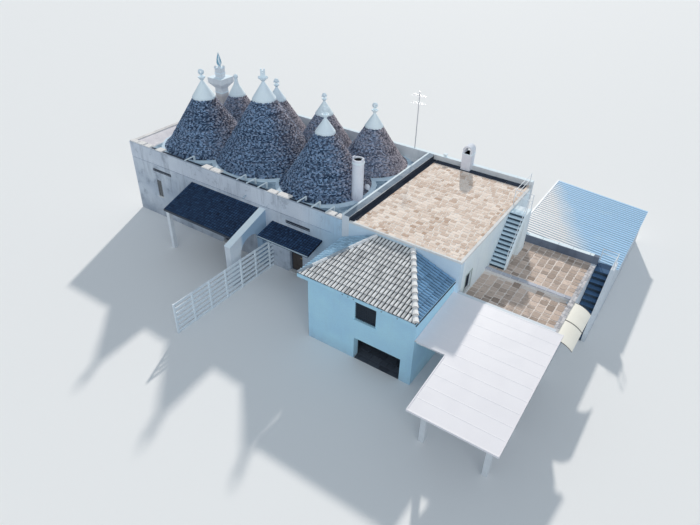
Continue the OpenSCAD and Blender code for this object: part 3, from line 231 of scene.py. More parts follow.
def deck_paint():
    """The deck round the cones: a dark gutter in front, limewash at the left end, grey between."""
    s = Shade("deck_render", rough=0.92, gloss=0.25)
    rough_edge = s.math("MULTIPLY", s.noise(0.35, 6, 0.65), 0.5)
    cloud = s.ramp(s.noise(0.5, 7, 0.68), 0.42, 0.62)
    open_deck = s.mix(cloud, (0.2, 0.3, 0.4), (0.46, 0.58, 0.68))
    gutter = s.mix(cloud, (0.05, 0.085, 0.12), (0.34, 0.46, 0.55))
    lime = s.mix(cloud, (0.8, 0.76, 0.77), (0.58, 0.58, 0.62))
    back = s.ramp(s.math("ADD", s.part_of("Y"), rough_edge),
                  FRONT + GUTTER_END - 0.06, FRONT + GUTTER_END + 0.06)
    right = s.ramp(s.math("ADD", s.part_of("X"), rough_edge),
                   LEFT + LIME_END - 0.1, LEFT + LIME_END + 0.1)
    colour = s.mix(right, lime, s.mix(back, gutter, open_deck))
    s.bump(s.noise(0.06, 6, 0.7), 0.5, 0.02)
    return s.done(colour)


def painted(name, colour, wear, rough=0.5, metallic=0.0, size=0.8, spots=0.35):
    """Painted sheet or wood with soft dirt and slight dents."""
    s = Shade(name, rough=rough, metallic=metallic)
    dirt = s.ramp(s.noise(size, 6, 0.62), 0.42, 0.72)
    out = s.mix(dirt, colour, wear, spots)
    grain = s.noise(0.03, 5, 0.6)
    out = s.mix(s.ramp(grain, 0.5, 0.8), out, wear, 0.25)
    s.bump(s.math("ADD", grain, s.noise(size * 0.5, 2)), 0.25, 0.008)
    return s.done(out, s.ramp(dirt, -0.6 / max(rough, 0.1), 2.4))


def shed_paint_with_painted_shadow():
    """The metal sheet: creamy white towards the house, and further out a painted shadow in pale
    blue.
    """
    s = Shade("shed_sheet_painted_shadow", rough=0.4)
    # painted shadow: the lit white and the shaded pale blue meet along a ragged line that runs
    # aslant, where X + 0.575 * Y is about 23 m
    line = s.math("ADD", s.part_of("X"), s.math("MULTIPLY", s.part_of("Y"), 0.575))
    line = s.math("ADD", line, s.math("MULTIPLY", s.noise(1.8, 6, 0.62), 1.6))
    colour = s.mix(s.ramp(line, 22.0, 23.5), (0.91, 0.89, 0.88), (0.46, 0.7, 0.93))
    cloud = s.ramp(s.noise(0.9, 6, 0.65), 0.55, 0.75)
    colour = s.mix(cloud, colour, (0.72, 0.86, 0.93), 0.35)
    grain = s.noise(0.03, 5, 0.6)
    s.bump(s.math("ADD", grain, s.noise(0.5, 2)), 0.25, 0.008)
    return s.done(colour)


LIMEWASH = (0.8, 0.84, 0.88), (0.7, 0.75, 0.81), (0.42, 0.45, 0.49)
WHITE = plaster("limewash", *LIMEWASH)
BACK_WHITE = plaster("back_limewash", (0.8, 0.82, 0.83), (0.7, 0.73, 0.76), (0.42, 0.44, 0.47))
STREAKED = plaster("streaked_limewash", (0.86, 0.9, 0.96), (0.74, 0.75, 0.83), (0.4, 0.38, 0.44),
    0.75)
# limewash tinted sky blue as painted shade: the walls of the tiled room, and the flat block's front
# wall
ROOM_WHITE_IN_SHADE = plaster("room_limewash_blue_shade", (0.54, 0.85, 1.0), (0.49, 0.78, 0.97), (0.38, 0.49, 0.59),
    0.15, foot=0.8)
FLAT_WHITE_IN_SHADE = plaster("flat_limewash_blue_shade", (0.7, 0.84, 0.95), (0.62, 0.77, 0.89), (0.42, 0.5, 0.58),
    0.25)
SIDE_WHITE = plaster("side_limewash", (0.9, 0.98, 1.0), (0.83, 0.92, 0.98), (0.44, 0.5, 0.56))
STACK_WHITE = plaster("stack_limewash", (0.86, 0.89, 0.92), (0.78, 0.81, 0.85), (0.5, 0.5, 0.52),
    zones=(("Z", 6.3, 5.9, (0.5, 0.44, 0.42), 0.8),))
# the front wall: its right end is tinted sky blue, as painted shade
FACADE = plaster("weathered_limewash", (0.7, 0.75, 0.82), (0.48, 0.54, 0.63), (0.2, 0.23, 0.28),
    0.6, foot=1.6, patches=0.4,
    zones=(("Z", 3.96, 3.99, (0.78, 0.82, 0.9), 0.6),
           ("X", LEFT + 14.6, LEFT + 17.0, (0.46, 0.68, 0.86), 0.75)))
COPING = plaster("coping_limewash", (0.56, 0.62, 0.7), (0.4, 0.46, 0.54), (0.22, 0.25, 0.3), 0.4,
    patches=0.4)
CAP_WHITE = plaster("cap_limewash", (0.88, 0.97, 1.0), (0.82, 0.92, 0.99), (0.56, 0.61, 0.68), 0.25)
# mortar tinted sky blue as painted shade
SKIRT_WHITE = plaster("mortar_limewash", (0.74, 0.89, 0.99), (0.58, 0.72, 0.85), (0.22, 0.3, 0.39),
    0.2, patches=0.35)
BANK_WHITE = plaster("bank_limewash", (0.95, 0.89, 0.9), (0.84, 0.79, 0.82), (0.46, 0.43, 0.47),
    0.2, patches=0.25)
MIDDLE_TOP = stone("parapet_membrane", (0.12, 0.17, 0.23), (0.36, 0.42, 0.49), (0.46, 0.46, 0.46),
    pits=0.35)
TRIM = plaster("trim_limewash", (0.84, 0.84, 0.83), (0.72, 0.72, 0.72), (0.42, 0.42, 0.42))
# painted shade: limewash made dark navy for the shaded face of the terrace's back wall
WALL_IN_PAINTED_SHADE = plaster("limewash_in_painted_shade", (0.2, 0.24, 0.31), (0.13, 0.16, 0.22), (0.08, 0.1, 0.14), 0.5,
    patches=0.4)
# painted shade: the part of the wing wall under the canopy is tinted dark blue
WING_WHITE_SHADED = plaster("wing_limewash_painted_shade", *LIMEWASH,
    zones=(("Y", FRONT - 2.25, FRONT - 2.05, (0.33, 0.48, 0.64), 0.95),))

# painted shade and light: the stones' blue is the shade on them, and the warm browns are painted
# sunlight on their right sides, also tinting the cones at the back
CONE_STONE = stone("cone_stone", (0.025, 0.048, 0.094), (0.34, 0.5, 0.74), (0.26, 0.29, 0.33),
    0.22, 0.05, warm=((0.055, 0.046, 0.062), (0.6, 0.53, 0.57)))
PAVING = stone("roof_paving", (0.56, 0.39, 0.29), (1.0, 0.87, 0.77), (0.6, 0.49, 0.42), 0.2, 0.05,
    pits=0.12)
JOINT = stone("pale_joints", (0.97, 0.92, 0.87), (0.97, 0.93, 0.88), (0.8, 0.72, 0.65))
TERRACE = stone("terrace_paving", (0.21, 0.155, 0.125), (0.86, 0.69, 0.585), (0.17, 0.135, 0.12),
    0.45, 0.05, pits=0.3)
TERRACE_JOINT = stone("terrace_joints", (0.84, 0.75, 0.69), (0.92, 0.83, 0.77), (0.36, 0.3, 0.27),
    pits=0.25)
RUBBLE = stone("rubble_top", (0.36, 0.35, 0.37), (0.8, 0.76, 0.76), (0.74, 0.76, 0.8))
KERB_STONE = stone("kerb_stone", (0.34, 0.36, 0.42), (0.66, 0.67, 0.74), (0.44, 0.46, 0.52))
TILES = stone("roof_tiles", (0.035, 0.042, 0.06), (0.98, 0.97, 0.96), (0.62, 0.66, 0.7), 0.3,
    pits=0.12)
# painted shade: the side slopes of the tiled roof are the same tiles made darker and bluer
LEFT_TILES_IN_SHADE = stone("shaded_left_tiles", (0.06, 0.1, 0.15), (0.53, 0.78, 0.97), (0.38, 0.54, 0.68),
    pits=0.3)
RIGHT_TILES_IN_SHADE = stone("shaded_right_tiles", (0.02, 0.05, 0.1), (0.28, 0.5, 0.75), (0.8, 0.82, 0.85), 0.12,
    pits=0.3)
LEFT_HIP = stone("left_hip_tiles", (0.16, 0.23, 0.3), (0.95, 0.95, 0.95), (0.62, 0.68, 0.74), 0.3,
    pits=0.2)
HIP_TILES = stone("hip_tiles", (0.56, 0.51, 0.48), (1.0, 0.99, 0.98), (0.9, 0.88, 0.86), 0.15,
    pits=0.05)
CREAM_STONE = stone("cream_stone", (0.46, 0.45, 0.46), (0.93, 0.9, 0.87), (0.34, 0.34, 0.35), 0.45)
FLOOR_RENDER = stone("floor_render", (0.05, 0.06, 0.08), (0.1, 0.12, 0.15), (0.07, 0.08, 0.1))
# painted shade: a near black bed under the tiles, showing in the gaps between their columns
TILE_BED_SHADE = stone("tile_bed_painted_shade", (0.012, 0.015, 0.022), (0.04, 0.045, 0.055), (0.08, 0.08, 0.09), 0.3)
# a dark membrane, also used for the painted shadow along the flat roof's parapets
FELT_AND_PAINTED_SHADOW = stone("roof_felt_and_painted_shadow", (0.016, 0.024, 0.042), (0.06, 0.075, 0.105), (0.14, 0.16, 0.19), 0.3, 0.2)
# soot, and painted shade in the flue
SOOT_AND_SHADE = stone("chimney_soot_and_shade", (0.008, 0.008, 0.01), (0.03, 0.03, 0.032), (0.05, 0.05, 0.05), 0.3)
# painted shade: the dark faces between the treads
RISER_SHADE = stone("riser_painted_shade", (0.03, 0.05, 0.075), (0.1, 0.15, 0.2), (0.2, 0.26, 0.31), 0.3)
UPPER_TREAD = stone("upper_treads", (0.44, 0.58, 0.68), (0.74, 0.89, 0.99), (0.44, 0.58, 0.68),
    pits=0.2)
# painted shade: the lower stair's stone is made dark navy
LOWER_TREAD_IN_SHADE = stone("lower_treads_in_painted_shade", (0.03, 0.07, 0.14), (0.1, 0.2, 0.36), (0.06, 0.09, 0.14))
SHINGLE = stone("canopy_shingles", (0.003, 0.009, 0.028), (0.044, 0.104, 0.22),
    (0.012, 0.025, 0.05), 0.3, rough=0.8)

PANEL = painted("pergola_panels", (0.92, 0.89, 0.92), (0.8, 0.8, 0.84), size=1.4, spots=0.22)
FRAME_PAINT = painted("pergola_paint", (0.8, 0.83, 0.86), (0.58, 0.6, 0.62))
SHEET_WITH_PAINTED_SHADOW = shed_paint_with_painted_shadow()
WHITE_METAL = painted("white_metal", (0.84, 0.88, 0.92), (0.5, 0.52, 0.55), 0.4)
JOINERY = painted("dark_joinery", (0.022, 0.035, 0.06), (0.06, 0.075, 0.1), 0.45)
# glass painted near black, as the painted shade of the room behind it
DARK_PANE = painted("dark_pane", (0.016, 0.026, 0.042), (0.035, 0.045, 0.06), 0.15, spots=0.3)
BARS = painted("window_bars", (0.018, 0.03, 0.048), (0.04, 0.05, 0.065))
SHUTTER = painted("shutter_paint", (0.15, 0.16, 0.17), (0.09, 0.09, 0.1), 0.55, size=0.3)
SURROUND = painted("window_surround", (0.46, 0.55, 0.52), (0.32, 0.38, 0.36), 0.6)
DOOR_WOOD = painted("door_wood", (0.06, 0.046, 0.04), (0.035, 0.028, 0.025), size=0.3)
BRASS = painted("door_brass", (0.62, 0.48, 0.24), (0.35, 0.26, 0.12), 0.3, metallic=1.0, size=0.05)
AWNING = painted("awning_panel", (1.0, 0.95, 0.84), (0.86, 0.8, 0.69), 0.4)
AWNING_EDGE = painted("awning_edge", (0.16, 0.15, 0.14), (0.3, 0.28, 0.25))
SCREEN = painted("screen_paint", (0.86, 0.93, 0.98), (0.7, 0.78, 0.85))
s = Shade("glazed_finial", rough=0.2)
GLAZE = s.done(s.mix(s.ramp(s.noise(0.09, 3, 0.5, (1, 1, 0.15)), 0.46, 0.54),
    (0.2, 0.42, 0.56), (0.84, 0.92, 0.97)))
MAST = painted("mast_metal", (0.6, 0.62, 0.65), (0.36, 0.36, 0.36), 0.4, metallic=0.8)
RIB_SHADE = stone("rib_painted_shade", (0.18, 0.26, 0.35), (0.36, 0.48, 0.6), (0.5, 0.6, 0.7))
LEAD = painted("gutter_metal", (0.46, 0.56, 0.64), (0.3, 0.36, 0.42), 0.45, metallic=0.3)

LOOKS = {
    FACADE: "main_front_wall", BACK_WHITE: "main_back_wall main_left_wall flat_back_wall",
    WHITE: "middle_wall terrace_front_wall terrace_right_wall lower_stair_wall shed_walls",
    deck_paint(): "main_roof_deck", SKIRT_WHITE: "cone_skirts", CAP_WHITE: "cone_caps",
    FLAT_WHITE_IN_SHADE: "flat_front_wall", SIDE_WHITE: "flat_right_wall upper_stair",
    JOINT: "flat_roof", TRIM: "roof_copings", ROOM_WHITE_IN_SHADE: "tile_front_wall tile_side_walls",
    TILE_BED_SHADE: "tile_roof", FLOOR_RENDER: "floor_slabs", JOINERY: "window_frames",
    DARK_PANE: "window_glass", DOOR_WOOD: "door_leaves", WALL_IN_PAINTED_SHADE: "terrace_back_wall",
    TERRACE_JOINT: "terrace_deck", LOWER_TREAD_IN_SHADE: "lower_stair", WING_WHITE_SHADED: "canopy_wing_wall",
    WHITE_METAL: "railings canopy_posts", SHEET_WITH_PAINTED_SHADOW: "shed_roof", PANEL: "pergola_roof",
    FRAME_PAINT: "pergola_posts pergola_beams pergola_rafters", AWNING: "barrel_awning",
    SHINGLE: "canopy_roofs", SCREEN: "slatted_screen", STACK_WHITE: "rear_chimney",
    GLAZE: "rear_finial", STREAKED: "roof_chimneys", MAST: "antenna_mast",
}
NODE_LOOKS = {node: look for look, names in LOOKS.items() for node in names.split()}
# the nodes that aren't named there are the cones
for name, obj in nodes.items():
    look = NODE_LOOKS.get(name, CONE_STONE)
    if not obj.data.materials:
        obj.data.materials.append(look)
    for i in range(len(obj.data.materials)):
        obj.data.materials[i] = look


# mesh building
def bands(count, n):
    """The faces between rings of n points each, from one ring to the next."""
    return [(j * n + i, j * n + (i + 1) % n, (j + 1) * n + (i + 1) % n, (j + 1) * n + i)
            for j in range(count) for i in range(n)]


class Pile:
    """Many small solids joined into one piece. Sizes in metres from the left front corner."""

    def __init__(self, name, look, slot="whitewash"):
        self.name, self.look, self.slot = name, look, slot
        self.verts, self.faces, self.tints, self.warms = [], [], [], []

    def add(self, verts, faces, tint=0.5, warm=0.0):
        """tint is one number, or one for each face."""
        base = len(self.verts)
        self.verts.extend(verts)
        self.faces.extend([tuple(base + i for i in f) for f in faces])
        self.tints.extend(tint if isinstance(tint, list) else [tint] * len(faces))
        self.warms.extend([warm] * len(faces))

    def hexa(self, low, high, tint=0.5, open_low=False, warm=0.0):
        """A block from four low and four high corners, anticlockwise from the high side."""
        faces = [(4, 5, 6, 7), (0, 1, 5, 4), (1, 2, 6, 5), (2, 3, 7, 6), (3, 0, 4, 7)]
        if not open_low:
            faces.append((3, 2, 1, 0))
        self.add([tuple(p) for p in (*low, *high)], faces, tint, warm)

    def slab(self, x0, x1, y0, y1, z0, z1, tint=0.5, ease=0.0):
        """A level block, with its upper edges cut back by ease."""
        low = [place(x, y, z0) for x, y in corners(x0, x1, y0, y1)]
        high = [place(x, y, z1) for x, y in corners(x0 + ease, x1 - ease, y0 + ease, y1 - ease)]
        self.hexa(low, high, tint)

    def lying(self, x0, x1, y0, y1, under, thick, tint=0.5):
        """A strip that lies on a slope: under(x, y) is the height of its underside."""
        low = [place(x, y, under(x, y)) for x, y in corners(x0, x1, y0, y1)]
        self.hexa(low, [p + np.array((0, 0, thick)) for p in low], tint)

    def paver(self, x0, x1, y0, y1, z0, z1, tint, cut, wobble):
        """A slab with knocked off corners and edges that aren't quite straight."""
        rim = ((x0 + cut, y0), (x1 - cut, y0), (x1, y0 + cut), (x1, y1 - cut),
               (x1 - cut, y1), (x0 + cut, y1), (x0, y1 - cut), (x0, y0 + cut))
        mid_x, mid_y = (x0 + x1) / 2, (y0 + y1) / 2
        low, high = [], []
        for x, y in rim:
            x += uniform(-wobble, wobble)
            y += uniform(-wobble, wobble)
            low.append(place(x, y, z0))
            high.append(place(x + (mid_x - x) * 0.04, y + (mid_y - y) * 0.04, z1))
        n = len(rim)
        self.add([*low, *high], [tuple(range(n, 2 * n)), *bands(1, n)], tint)

    def turned(self, x, y, profile, steps):
        """A round form from pairs of radius and height."""
        self.add([on_circle(x, y, r, tau * i / steps, z) for r, z in profile
                  for i in range(steps)], bands(len(profile) - 1, steps))

    def tube(self, verts, count, n):
        """A closed form from rings of n points each, with the caps at its two ends."""
        faces = [(a, d, c, b) for a, b, c, d in bands(count, n)]
        last = count * n
        self.add(verts, [*faces, tuple(range(n)), tuple(range(last + n - 1, last - 1, -1))])

    def rod(self, a, b, radius, steps=8):
        """A thin round bar between two points."""
        a, b = place(*a), place(*b)
        line = (b - a) / np.linalg.norm(b - a)
        side = np.cross(line, (0.0, 0.0, 1.0) if abs(line[2]) < 0.9 else (1.0, 0.0, 0.0))
        side /= np.linalg.norm(side)
        up = np.cross(side, line)
        verts = [p + side * (radius * cos(t)) + up * (radius * sin(t))
                 for p in (a, b) for t in (tau * i / steps for i in range(steps))]
        self.tube(verts, 1, steps)

    def done(self, smooth=False):
        mesh = bpy.data.meshes.new(self.name)
        mesh.from_pydata([tuple(map(float, v)) for v in self.verts], [], self.faces)
        for name, values in (("tint", self.tints), ("warm", self.warms)):
            layer = mesh.attributes.new(name, "FLOAT", "FACE")
            layer.data.foreach_set("value", np.array(values, np.float32))
        mesh.materials.append(self.look)
        if smooth:
            mesh.polygons.foreach_set("use_smooth", [True] * len(mesh.polygons))
        mesh.update()
        obj = bpy.data.objects.new(self.name, mesh)
        scene.collection.objects.link(obj)
        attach(obj, "root")


def in_other_cone(name, point, margin):
    """True where a point of one cone lies inside another one, or inside a round stack."""
    x, y = point[0] - LEFT, point[1] - FRONT
    for other, (cx, cy, radius, rise, _) in CONES.items():
        reach = radius * (1 - (point[2] - DECK) / rise) - margin
        if other != name and hypot(x - cx, y - cy) < reach:
            return True
    return any(point[2] < DECK + top and hypot(x - cx, y - cy) < radius - margin
               for cx, cy, radius, top in STACKS)


def lengths(start, stop, low, high, size=1.0, gap=0.0, rest=0.02):
    """Both ends of pieces of random length in a row, a gap in from their joints."""
    while start < stop - rest:
        run = min(size * uniform(low, high), stop - start)
        yield start + gap, start + run - gap
        start += run


def blocks(name, look, slot, boxes):
    """A piece made of plain blocks, each with the width of its cut upper edges."""
    pile = Pile(name, look, slot)
    for *box, ease in boxes:
        pile.slab(*box, ease=ease)
    pile.done()


# stones of the cones: height of a course, length of a stone, half a joint, depth in the cone
COURSE, STONE, HALF_JOINT, BURIED = 0.069, 0.125, 0.007, 0.05
# tones of the pale and the dark ones, and how often a stone is of its neighbour's kind
PALE_TONE, DARK_TONE, SAME_KIND = (0.76, 0.22), (0.15, 0.11), 0.22
# where the stones are browner: the side to the right, where the brown is painted sunlight, and the
# cones at the back
SUNLIT_SIDE, WARM_BACK = radians(20), 0.5


def course(pile, name, cx, cy, r0, z0, r1, z1, high=0.04):
    """One course of stones between two circles, each standing out by up to high."""
    count = max(8, int(tau * r0 / STONE))
    spread = [uniform(0.4, 1.45) for _ in range(count)]
    total = sum(spread)
    angle = uniform(0, 1)
    shade = uniform(-0.18, 0.17)
    back = WARM_BACK if cy > DEPTH / 2 else 0.0
    pale = rng.random() < 0.5
    for part in spread:
        step = tau * part / total
        a0, a1 = angle + HALF_JOINT / r0, angle + step - HALF_JOINT / r0
        angle += step
        mid = (a0 + a1) / 2
        pale = pale if rng.random() < SAME_KIND else not pale
        tint = tone(*(PALE_TONE if pale else DARK_TONE)) + back * 0.45 + shade
        # painted sunlight: the more a stone faces the side to the right, the browner it is
        warm = max(0.0, cos(mid - SUNLIT_SIDE)) ** 3 * 0.8 + back + uniform(-0.25, 0.25)
        out = uniform(0.006, high)
        lean = uniform(-0.006, 0.012)
        if in_other_cone(name, on_circle(cx, cy, r0, mid, z0), 0.05):
            continue
        ring = [[on_circle(cx, cy, r, a, z) for a in (a0, a1)] for r, z in (
            (r0 - BURIED, z0), (r0 + out + lean, z0 + uniform(0, 0.008)),
            (r1 + out, z1 - uniform(0.002, 0.012)), (r1 - BURIED, z1))]
        low = [*ring[0], *reversed(ring[3])]
        face = [*ring[1], *reversed(ring[2])]
        pile.hexa(low, face, clamp(tint), True, clamp(warm))


for name, (cx, cy, radius, rise, cap) in CONES.items():
    slope = rise / radius
    rise_part, run_part = slope / hypot(1, slope), 1 / hypot(1, slope)
    pile = Pile("stones_" + name, CONE_STONE, "cone_stone")
    # two flatter courses at the foot, over the inner half of the mortar ring
    course(pile, name, cx, cy, radius + 0.105, DECK + 0.085, radius - 0.005, DECK + 0.145, 0.02)
    course(pile, name, cx, cy, radius + 0.015, DECK + 0.135, radius - 0.095, DECK + 0.205, 0.03)
    slant = (radius - cap / slope) / run_part
    courses = int(slant / COURSE)
    for k in range(2, courses):
        s0, s1 = k * slant / courses, (k + 1) * slant / courses
        course(pile, name, cx, cy, radius - s0 * run_part, DECK + s0 * rise_part,
               radius - s1 * run_part, DECK + s1 * rise_part)
    pile.done()

# the ragged lower edge of the limewash on the caps
EDGE_STEPS = 72
edge = Pile("cap_edges", CAP_WHITE)
for name, (cx, cy, radius, rise, cap) in CONES.items():
    slope = rise / radius
    foot = cap / slope
    z = DECK + rise - cap
    ring = []
    for i in range(EDGE_STEPS):
        drop = 0.03 + 0.05 * rng.random() ** 2
        low = foot + drop / slope
        ring.append([on_circle(cx, cy, r, tau * i / EDGE_STEPS, h) for r, h in (
            (low + 0.028, z - drop), (low + 0.045, z - drop + 0.015), (foot + 0.062, z + 0.03))])
    for a, b in zip(ring, ring[1:] + ring[:1]):
        if not in_other_cone(name, a[0], 0.02):
            edge.add([*a, *b], [(0, 3, 4, 1), (1, 4, 5, 2)])
edge.done(smooth=True)

# mortar that slopes from the rings down to the deck, with a ragged edge
APRON_STEPS = 120
INNER_FACE = 0.27
apron = Pile("mortar_aprons", SKIRT_WHITE)
for name, (cx, cy, radius, _, _) in CONES.items():
    rims = []
    for i in range(APRON_STEPS):
        wave = 0.1 * sin(5 * pi * i / APRON_STEPS) ** 2
        reach = radius + 0.34 + wave + uniform(-0.03, 0.03)
        rims.append([on_circle(cx, cy, r, tau * i / APRON_STEPS, z) for r, z in (
            (radius + 0.13, DECK + 0.075), (reach - 0.03, DECK + 0.022),
            (reach, DECK - 0.002), (radius + 0.13, DECK - 0.002))])
    for a, b in zip(rims, rims[1:] + rims[:1]):
        x, y, next_y = a[2][0] - LEFT, a[2][1] - FRONT, b[2][1] - FRONT
        if not (in_other_cone(name, a[1], -0.05) or min(x, y, next_y) < INNER_FACE
                or y > DEPTH - INNER_FACE or x > MAIN_LENGTH - 0.01):
            apron.add([*a, *b], [(0, 1, 5, 4), (1, 2, 6, 5), (3, 0, 4, 7), (2, 3, 7, 6),
                                 (3, 2, 1, 0), (4, 5, 6, 7)])
apron.done()

# a bank of mortar from the left parapet down to the feet of the cones
BANK_STEPS, BANK_START, BANK_END = 38, 0.275, 9.835
bank = Pile("left_mortar_bank", BANK_WHITE)
loops = []
for i in range(BANK_STEPS + 1):
    y = BANK_START + i * (BANK_END - BANK_START) / BANK_STEPS
    loops.append([place(x, y, z) for x, z in (
        (0.262, DECK - 0.004), (1.04 + uniform(-0.04, 0.04), DECK - 0.004),
        (0.82, DECK + 0.095 + uniform(-0.012, 0.012)),
        (0.52, DECK + 0.225 + uniform(-0.012, 0.012)), (0.262, PARAPET - 0.02))])
bank.tube([p for loop in loops for p in loop], BANK_STEPS, len(loops[0]))
bank.done()


# paving
def paving(name, look, slot, x0, x1, y0, y1, z, length, width, gap, cut, spread, skip=None,
           turned=False, uneven=0.27):
    """Slabs in rows along X, or along Y where turned, with broken joints."""
    pile = Pile(name, look, slot)
    if turned:
        x0, x1, y0, y1 = y0, y1, x0, x1
    rows = max(1, round((y1 - y0) / width))
    deep = (y1 - y0) / rows
    for j in range(rows):
        y = y0 + j * deep
        x = x0 - uniform(0, length)
        while x < x1:
            run = length * uniform(1 - spread, 1 + spread)
            a, b = max(x, x0), min(x + run, x1)
            x += run
            mid = (y + deep / 2, (a + b) / 2) if turned else ((a + b) / 2, y + deep / 2)
            if b - a < 3 * cut or (skip and skip(*mid)):
                continue
            along = (a + gap / 2, b - gap / 2)
            over = (y + gap / 2, y + deep - gap / 2)
            pile.paver(*(over + along if turned else along + over),
                       z - 0.01, z + uniform(0.012, 0.022), tone(0.66, uneven),
                       cut * uniform(0.6, 1.3), gap * 0.3)
    pile.done()


# the kerb across the terrace, from front to back, and what the top of the stair covers
KERB, STAIR_TOP = (3.75, 3.97), (6.25, 7.3)


def off_slabs(x, y):
    """True where the terrace has no slabs: near the kerb, and under the top of the stair."""
    return (KERB[0] - 0.2 < y < KERB[1] + 0.2
            or (x < FLAT_RIGHT + 1.0 and STAIR_TOP[0] < y < STAIR_TOP[1]))


paving("flat_roof_slabs", PAVING, "roof_paving", MAIN_LENGTH + 0.45, FLAT_RIGHT - 0.28,
       0.28, DEPTH - 0.27, FLAT_TOP, 0.36, 0.25, 0.036, 0.03, 0.45)
# a floor of dark flags in the cellar of the tiled room, and in its opening; their near black colour
# is also painted shade of the unlit cellar
blocks("cellar_bed", FLOOR_RENDER, "concrete", (
    (18.47, 23.99, -3.66, -0.02, 0.001, 0.01, 0.0),
    (21.03, 23.65, -3.955, -3.665, 0.001, 0.01, 0.0)))
paving("cellar_flags", FLOOR_RENDER, "concrete", 18.5, 23.96, -3.64, -0.05, 0.016, 0.55, 0.42,
       0.02, 0.03, 0.4)
paving("cellar_threshold", FLOOR_RENDER, "concrete", 21.04, 23.64, -3.945, -3.67, 0.016, 0.6, 0.27,
       0.02, 0.02, 0.3)
paving("terrace_slabs", TERRACE, "roof_paving", FLAT_RIGHT + 0.02, TERRACE_RIGHT - 0.26,
       0.27, TERRACE_BACK - 0.41, TERRACE_TOP, 0.4, 0.42, 0.05, 0.03, 0.4,
       off_slabs, turned=True, uneven=0.18)


# copings along the tops of the walls
def coping(pile, x0, x1, y0, y1, z, length, thick=0.022):
    """A row of short stones along the longer side of a strip."""
    along_x = x1 - x0 > y1 - y0
    ends = (x0, x1) if along_x else (y0, y1)
    for a, b in lengths(*ends, 0.75, 1.25, length, 0.006, 0.05):
        strip = (a, b, y0, y1) if along_x else (x0, x1, a, b)
        pile.slab(*strip, z - 0.005, z + thick, tone(0.62, 0.25), 0.006)


def copings(name, look, slot, rows):
    """A piece made of rows of coping stones."""
    pile = Pile(name, look, slot)
    for row in rows:
        coping(pile, *row)
    pile.done()


# where the strips along the middle parapet and the flat roof end, at the back parapet
STRIP_END = 9.82
copings("front_copings", COPING, "weathered_wall",
        ((-0.015, MAIN_LENGTH - 0.02, -0.015, 0.095, PARAPET, 0.75, 0.014),))
lining = Pile("parapet_membrane", FELT_AND_PAINTED_SHADOW, "concrete")
for a, b in lengths(2.0, MAIN_LENGTH - 0.03, 0.9, 1.1, gap=0.003):
    lining.slab(a, b, 0.1, 0.272, PARAPET - 0.004, PARAPET + 0.01, tone(0.5, 0.2), 0.003)
    lining.slab(a, b, 0.258, 0.272, DECK + 0.02, PARAPET - 0.004, tone(0.5, 0.2))
lining.done()
# the left parapet's copings, and the pale stones that lie loose on the front one
LOOSE_STONES = ((0.0, 0.7), (0.75, 1.3), (1.4, 1.95), (2.5, 3.1), (6.75, 7.4), (7.5, 8.3),
                (12.1, 12.75), (12.85, 13.7), (16.3, 16.9), (17.0, 17.42))
tops = Pile("parapet_copings", CREAM_STONE)
coping(tops, -0.015, 0.275, 0.3, 8.22, PARAPET, 0.75)
for x0, x1 in LOOSE_STONES:
    tops.slab(x0, x1, 0.02, uniform(0.36, 0.55), PARAPET + 0.005,
              PARAPET + uniform(0.05, 0.11), 1.0, 0.03)
tops.done()
copings("roof_rims", CAP_WHITE, "whitewash", (
    (MAIN_LENGTH - 0.01, MAIN_LENGTH + 0.11, -0.01, STRIP_END, BACK_PARAPET, 0.8),
    (0.0, FLAT_RIGHT, DEPTH - 0.27, DEPTH + 0.01, BACK_PARAPET, 0.9),
    (FLAT_RIGHT + 0.01, TERRACE_RIGHT - 0.28, 8.04, 8.31, 2.95, 0.9, 0.02)))
copings("middle_parapet_cover", MIDDLE_TOP, "concrete", (
    (MAIN_LENGTH + 0.12, MAIN_LENGTH + 0.46, -0.01, STRIP_END, BACK_PARAPET, 0.9, 0.014),))
copings("flat_roof_rims", TRIM, "whitewash", (
    (MAIN_LENGTH + 0.47, FLAT_RIGHT + 0.045, -0.045, 0.075, FLAT_PARAPET, 0.8, 0.032),
    (FLAT_RIGHT - 0.115, FLAT_RIGHT + 0.045, 0.08, 9.83, FLAT_PARAPET, 0.8, 0.032)))
# painted shadow: dark strips up the shaded face of the middle parapet, and on the roof along the
# two higher parapets, where they cast their shadow
painted_shadow_strips = Pile("roof_felt_and_painted_shadow", FELT_AND_PAINTED_SHADOW, "concrete")
for a, b in lengths(0.0, STRIP_END, 0.85, 1.1, gap=0.003):
    # the first strips lie over the low front parapet
    foot, top = (0.09, 0.1) if a < 0.3 else (0.02, 0.034)
    painted_shadow_strips.slab(MAIN_LENGTH + 0.445, MAIN_LENGTH + 0.462, a, b, FLAT_TOP + foot,
              BACK_PARAPET - uniform(0.05, 0.09), tone(0.5, 0.2), 0.002)
    painted_shadow_strips.slab(MAIN_LENGTH + 0.45, MAIN_LENGTH + 0.7, a, b, FLAT_TOP + 0.01, FLAT_TOP + top,
              tone(0.5, 0.2), 0.008)
for a, b in lengths(MAIN_LENGTH + 0.71, FLAT_RIGHT - 0.29, 0.85, 1.1, gap=0.003, rest=0.01):
    painted_shadow_strips.slab(a, b, 9.38, 9.845, FLAT_TOP + 0.01, FLAT_TOP + 0.034, tone(0.5, 0.2), 0.008)
painted_shadow_strips.done()
paving("coping_slabs", PAVING, "roof_paving", MAIN_LENGTH + 0.7, FLAT_RIGHT - 0.09, 0.085,
       0.275, FLAT_PARAPET - 0.005, 0.34, 0.19, 0.026, 0.026, 0.45)
copings("side_coping_slabs", PAVING, "roof_paving", (
    (FLAT_RIGHT - 0.275, FLAT_RIGHT - 0.125, 0.285, DEPTH - 0.27, FLAT_PARAPET, 0.34, 0.018),))

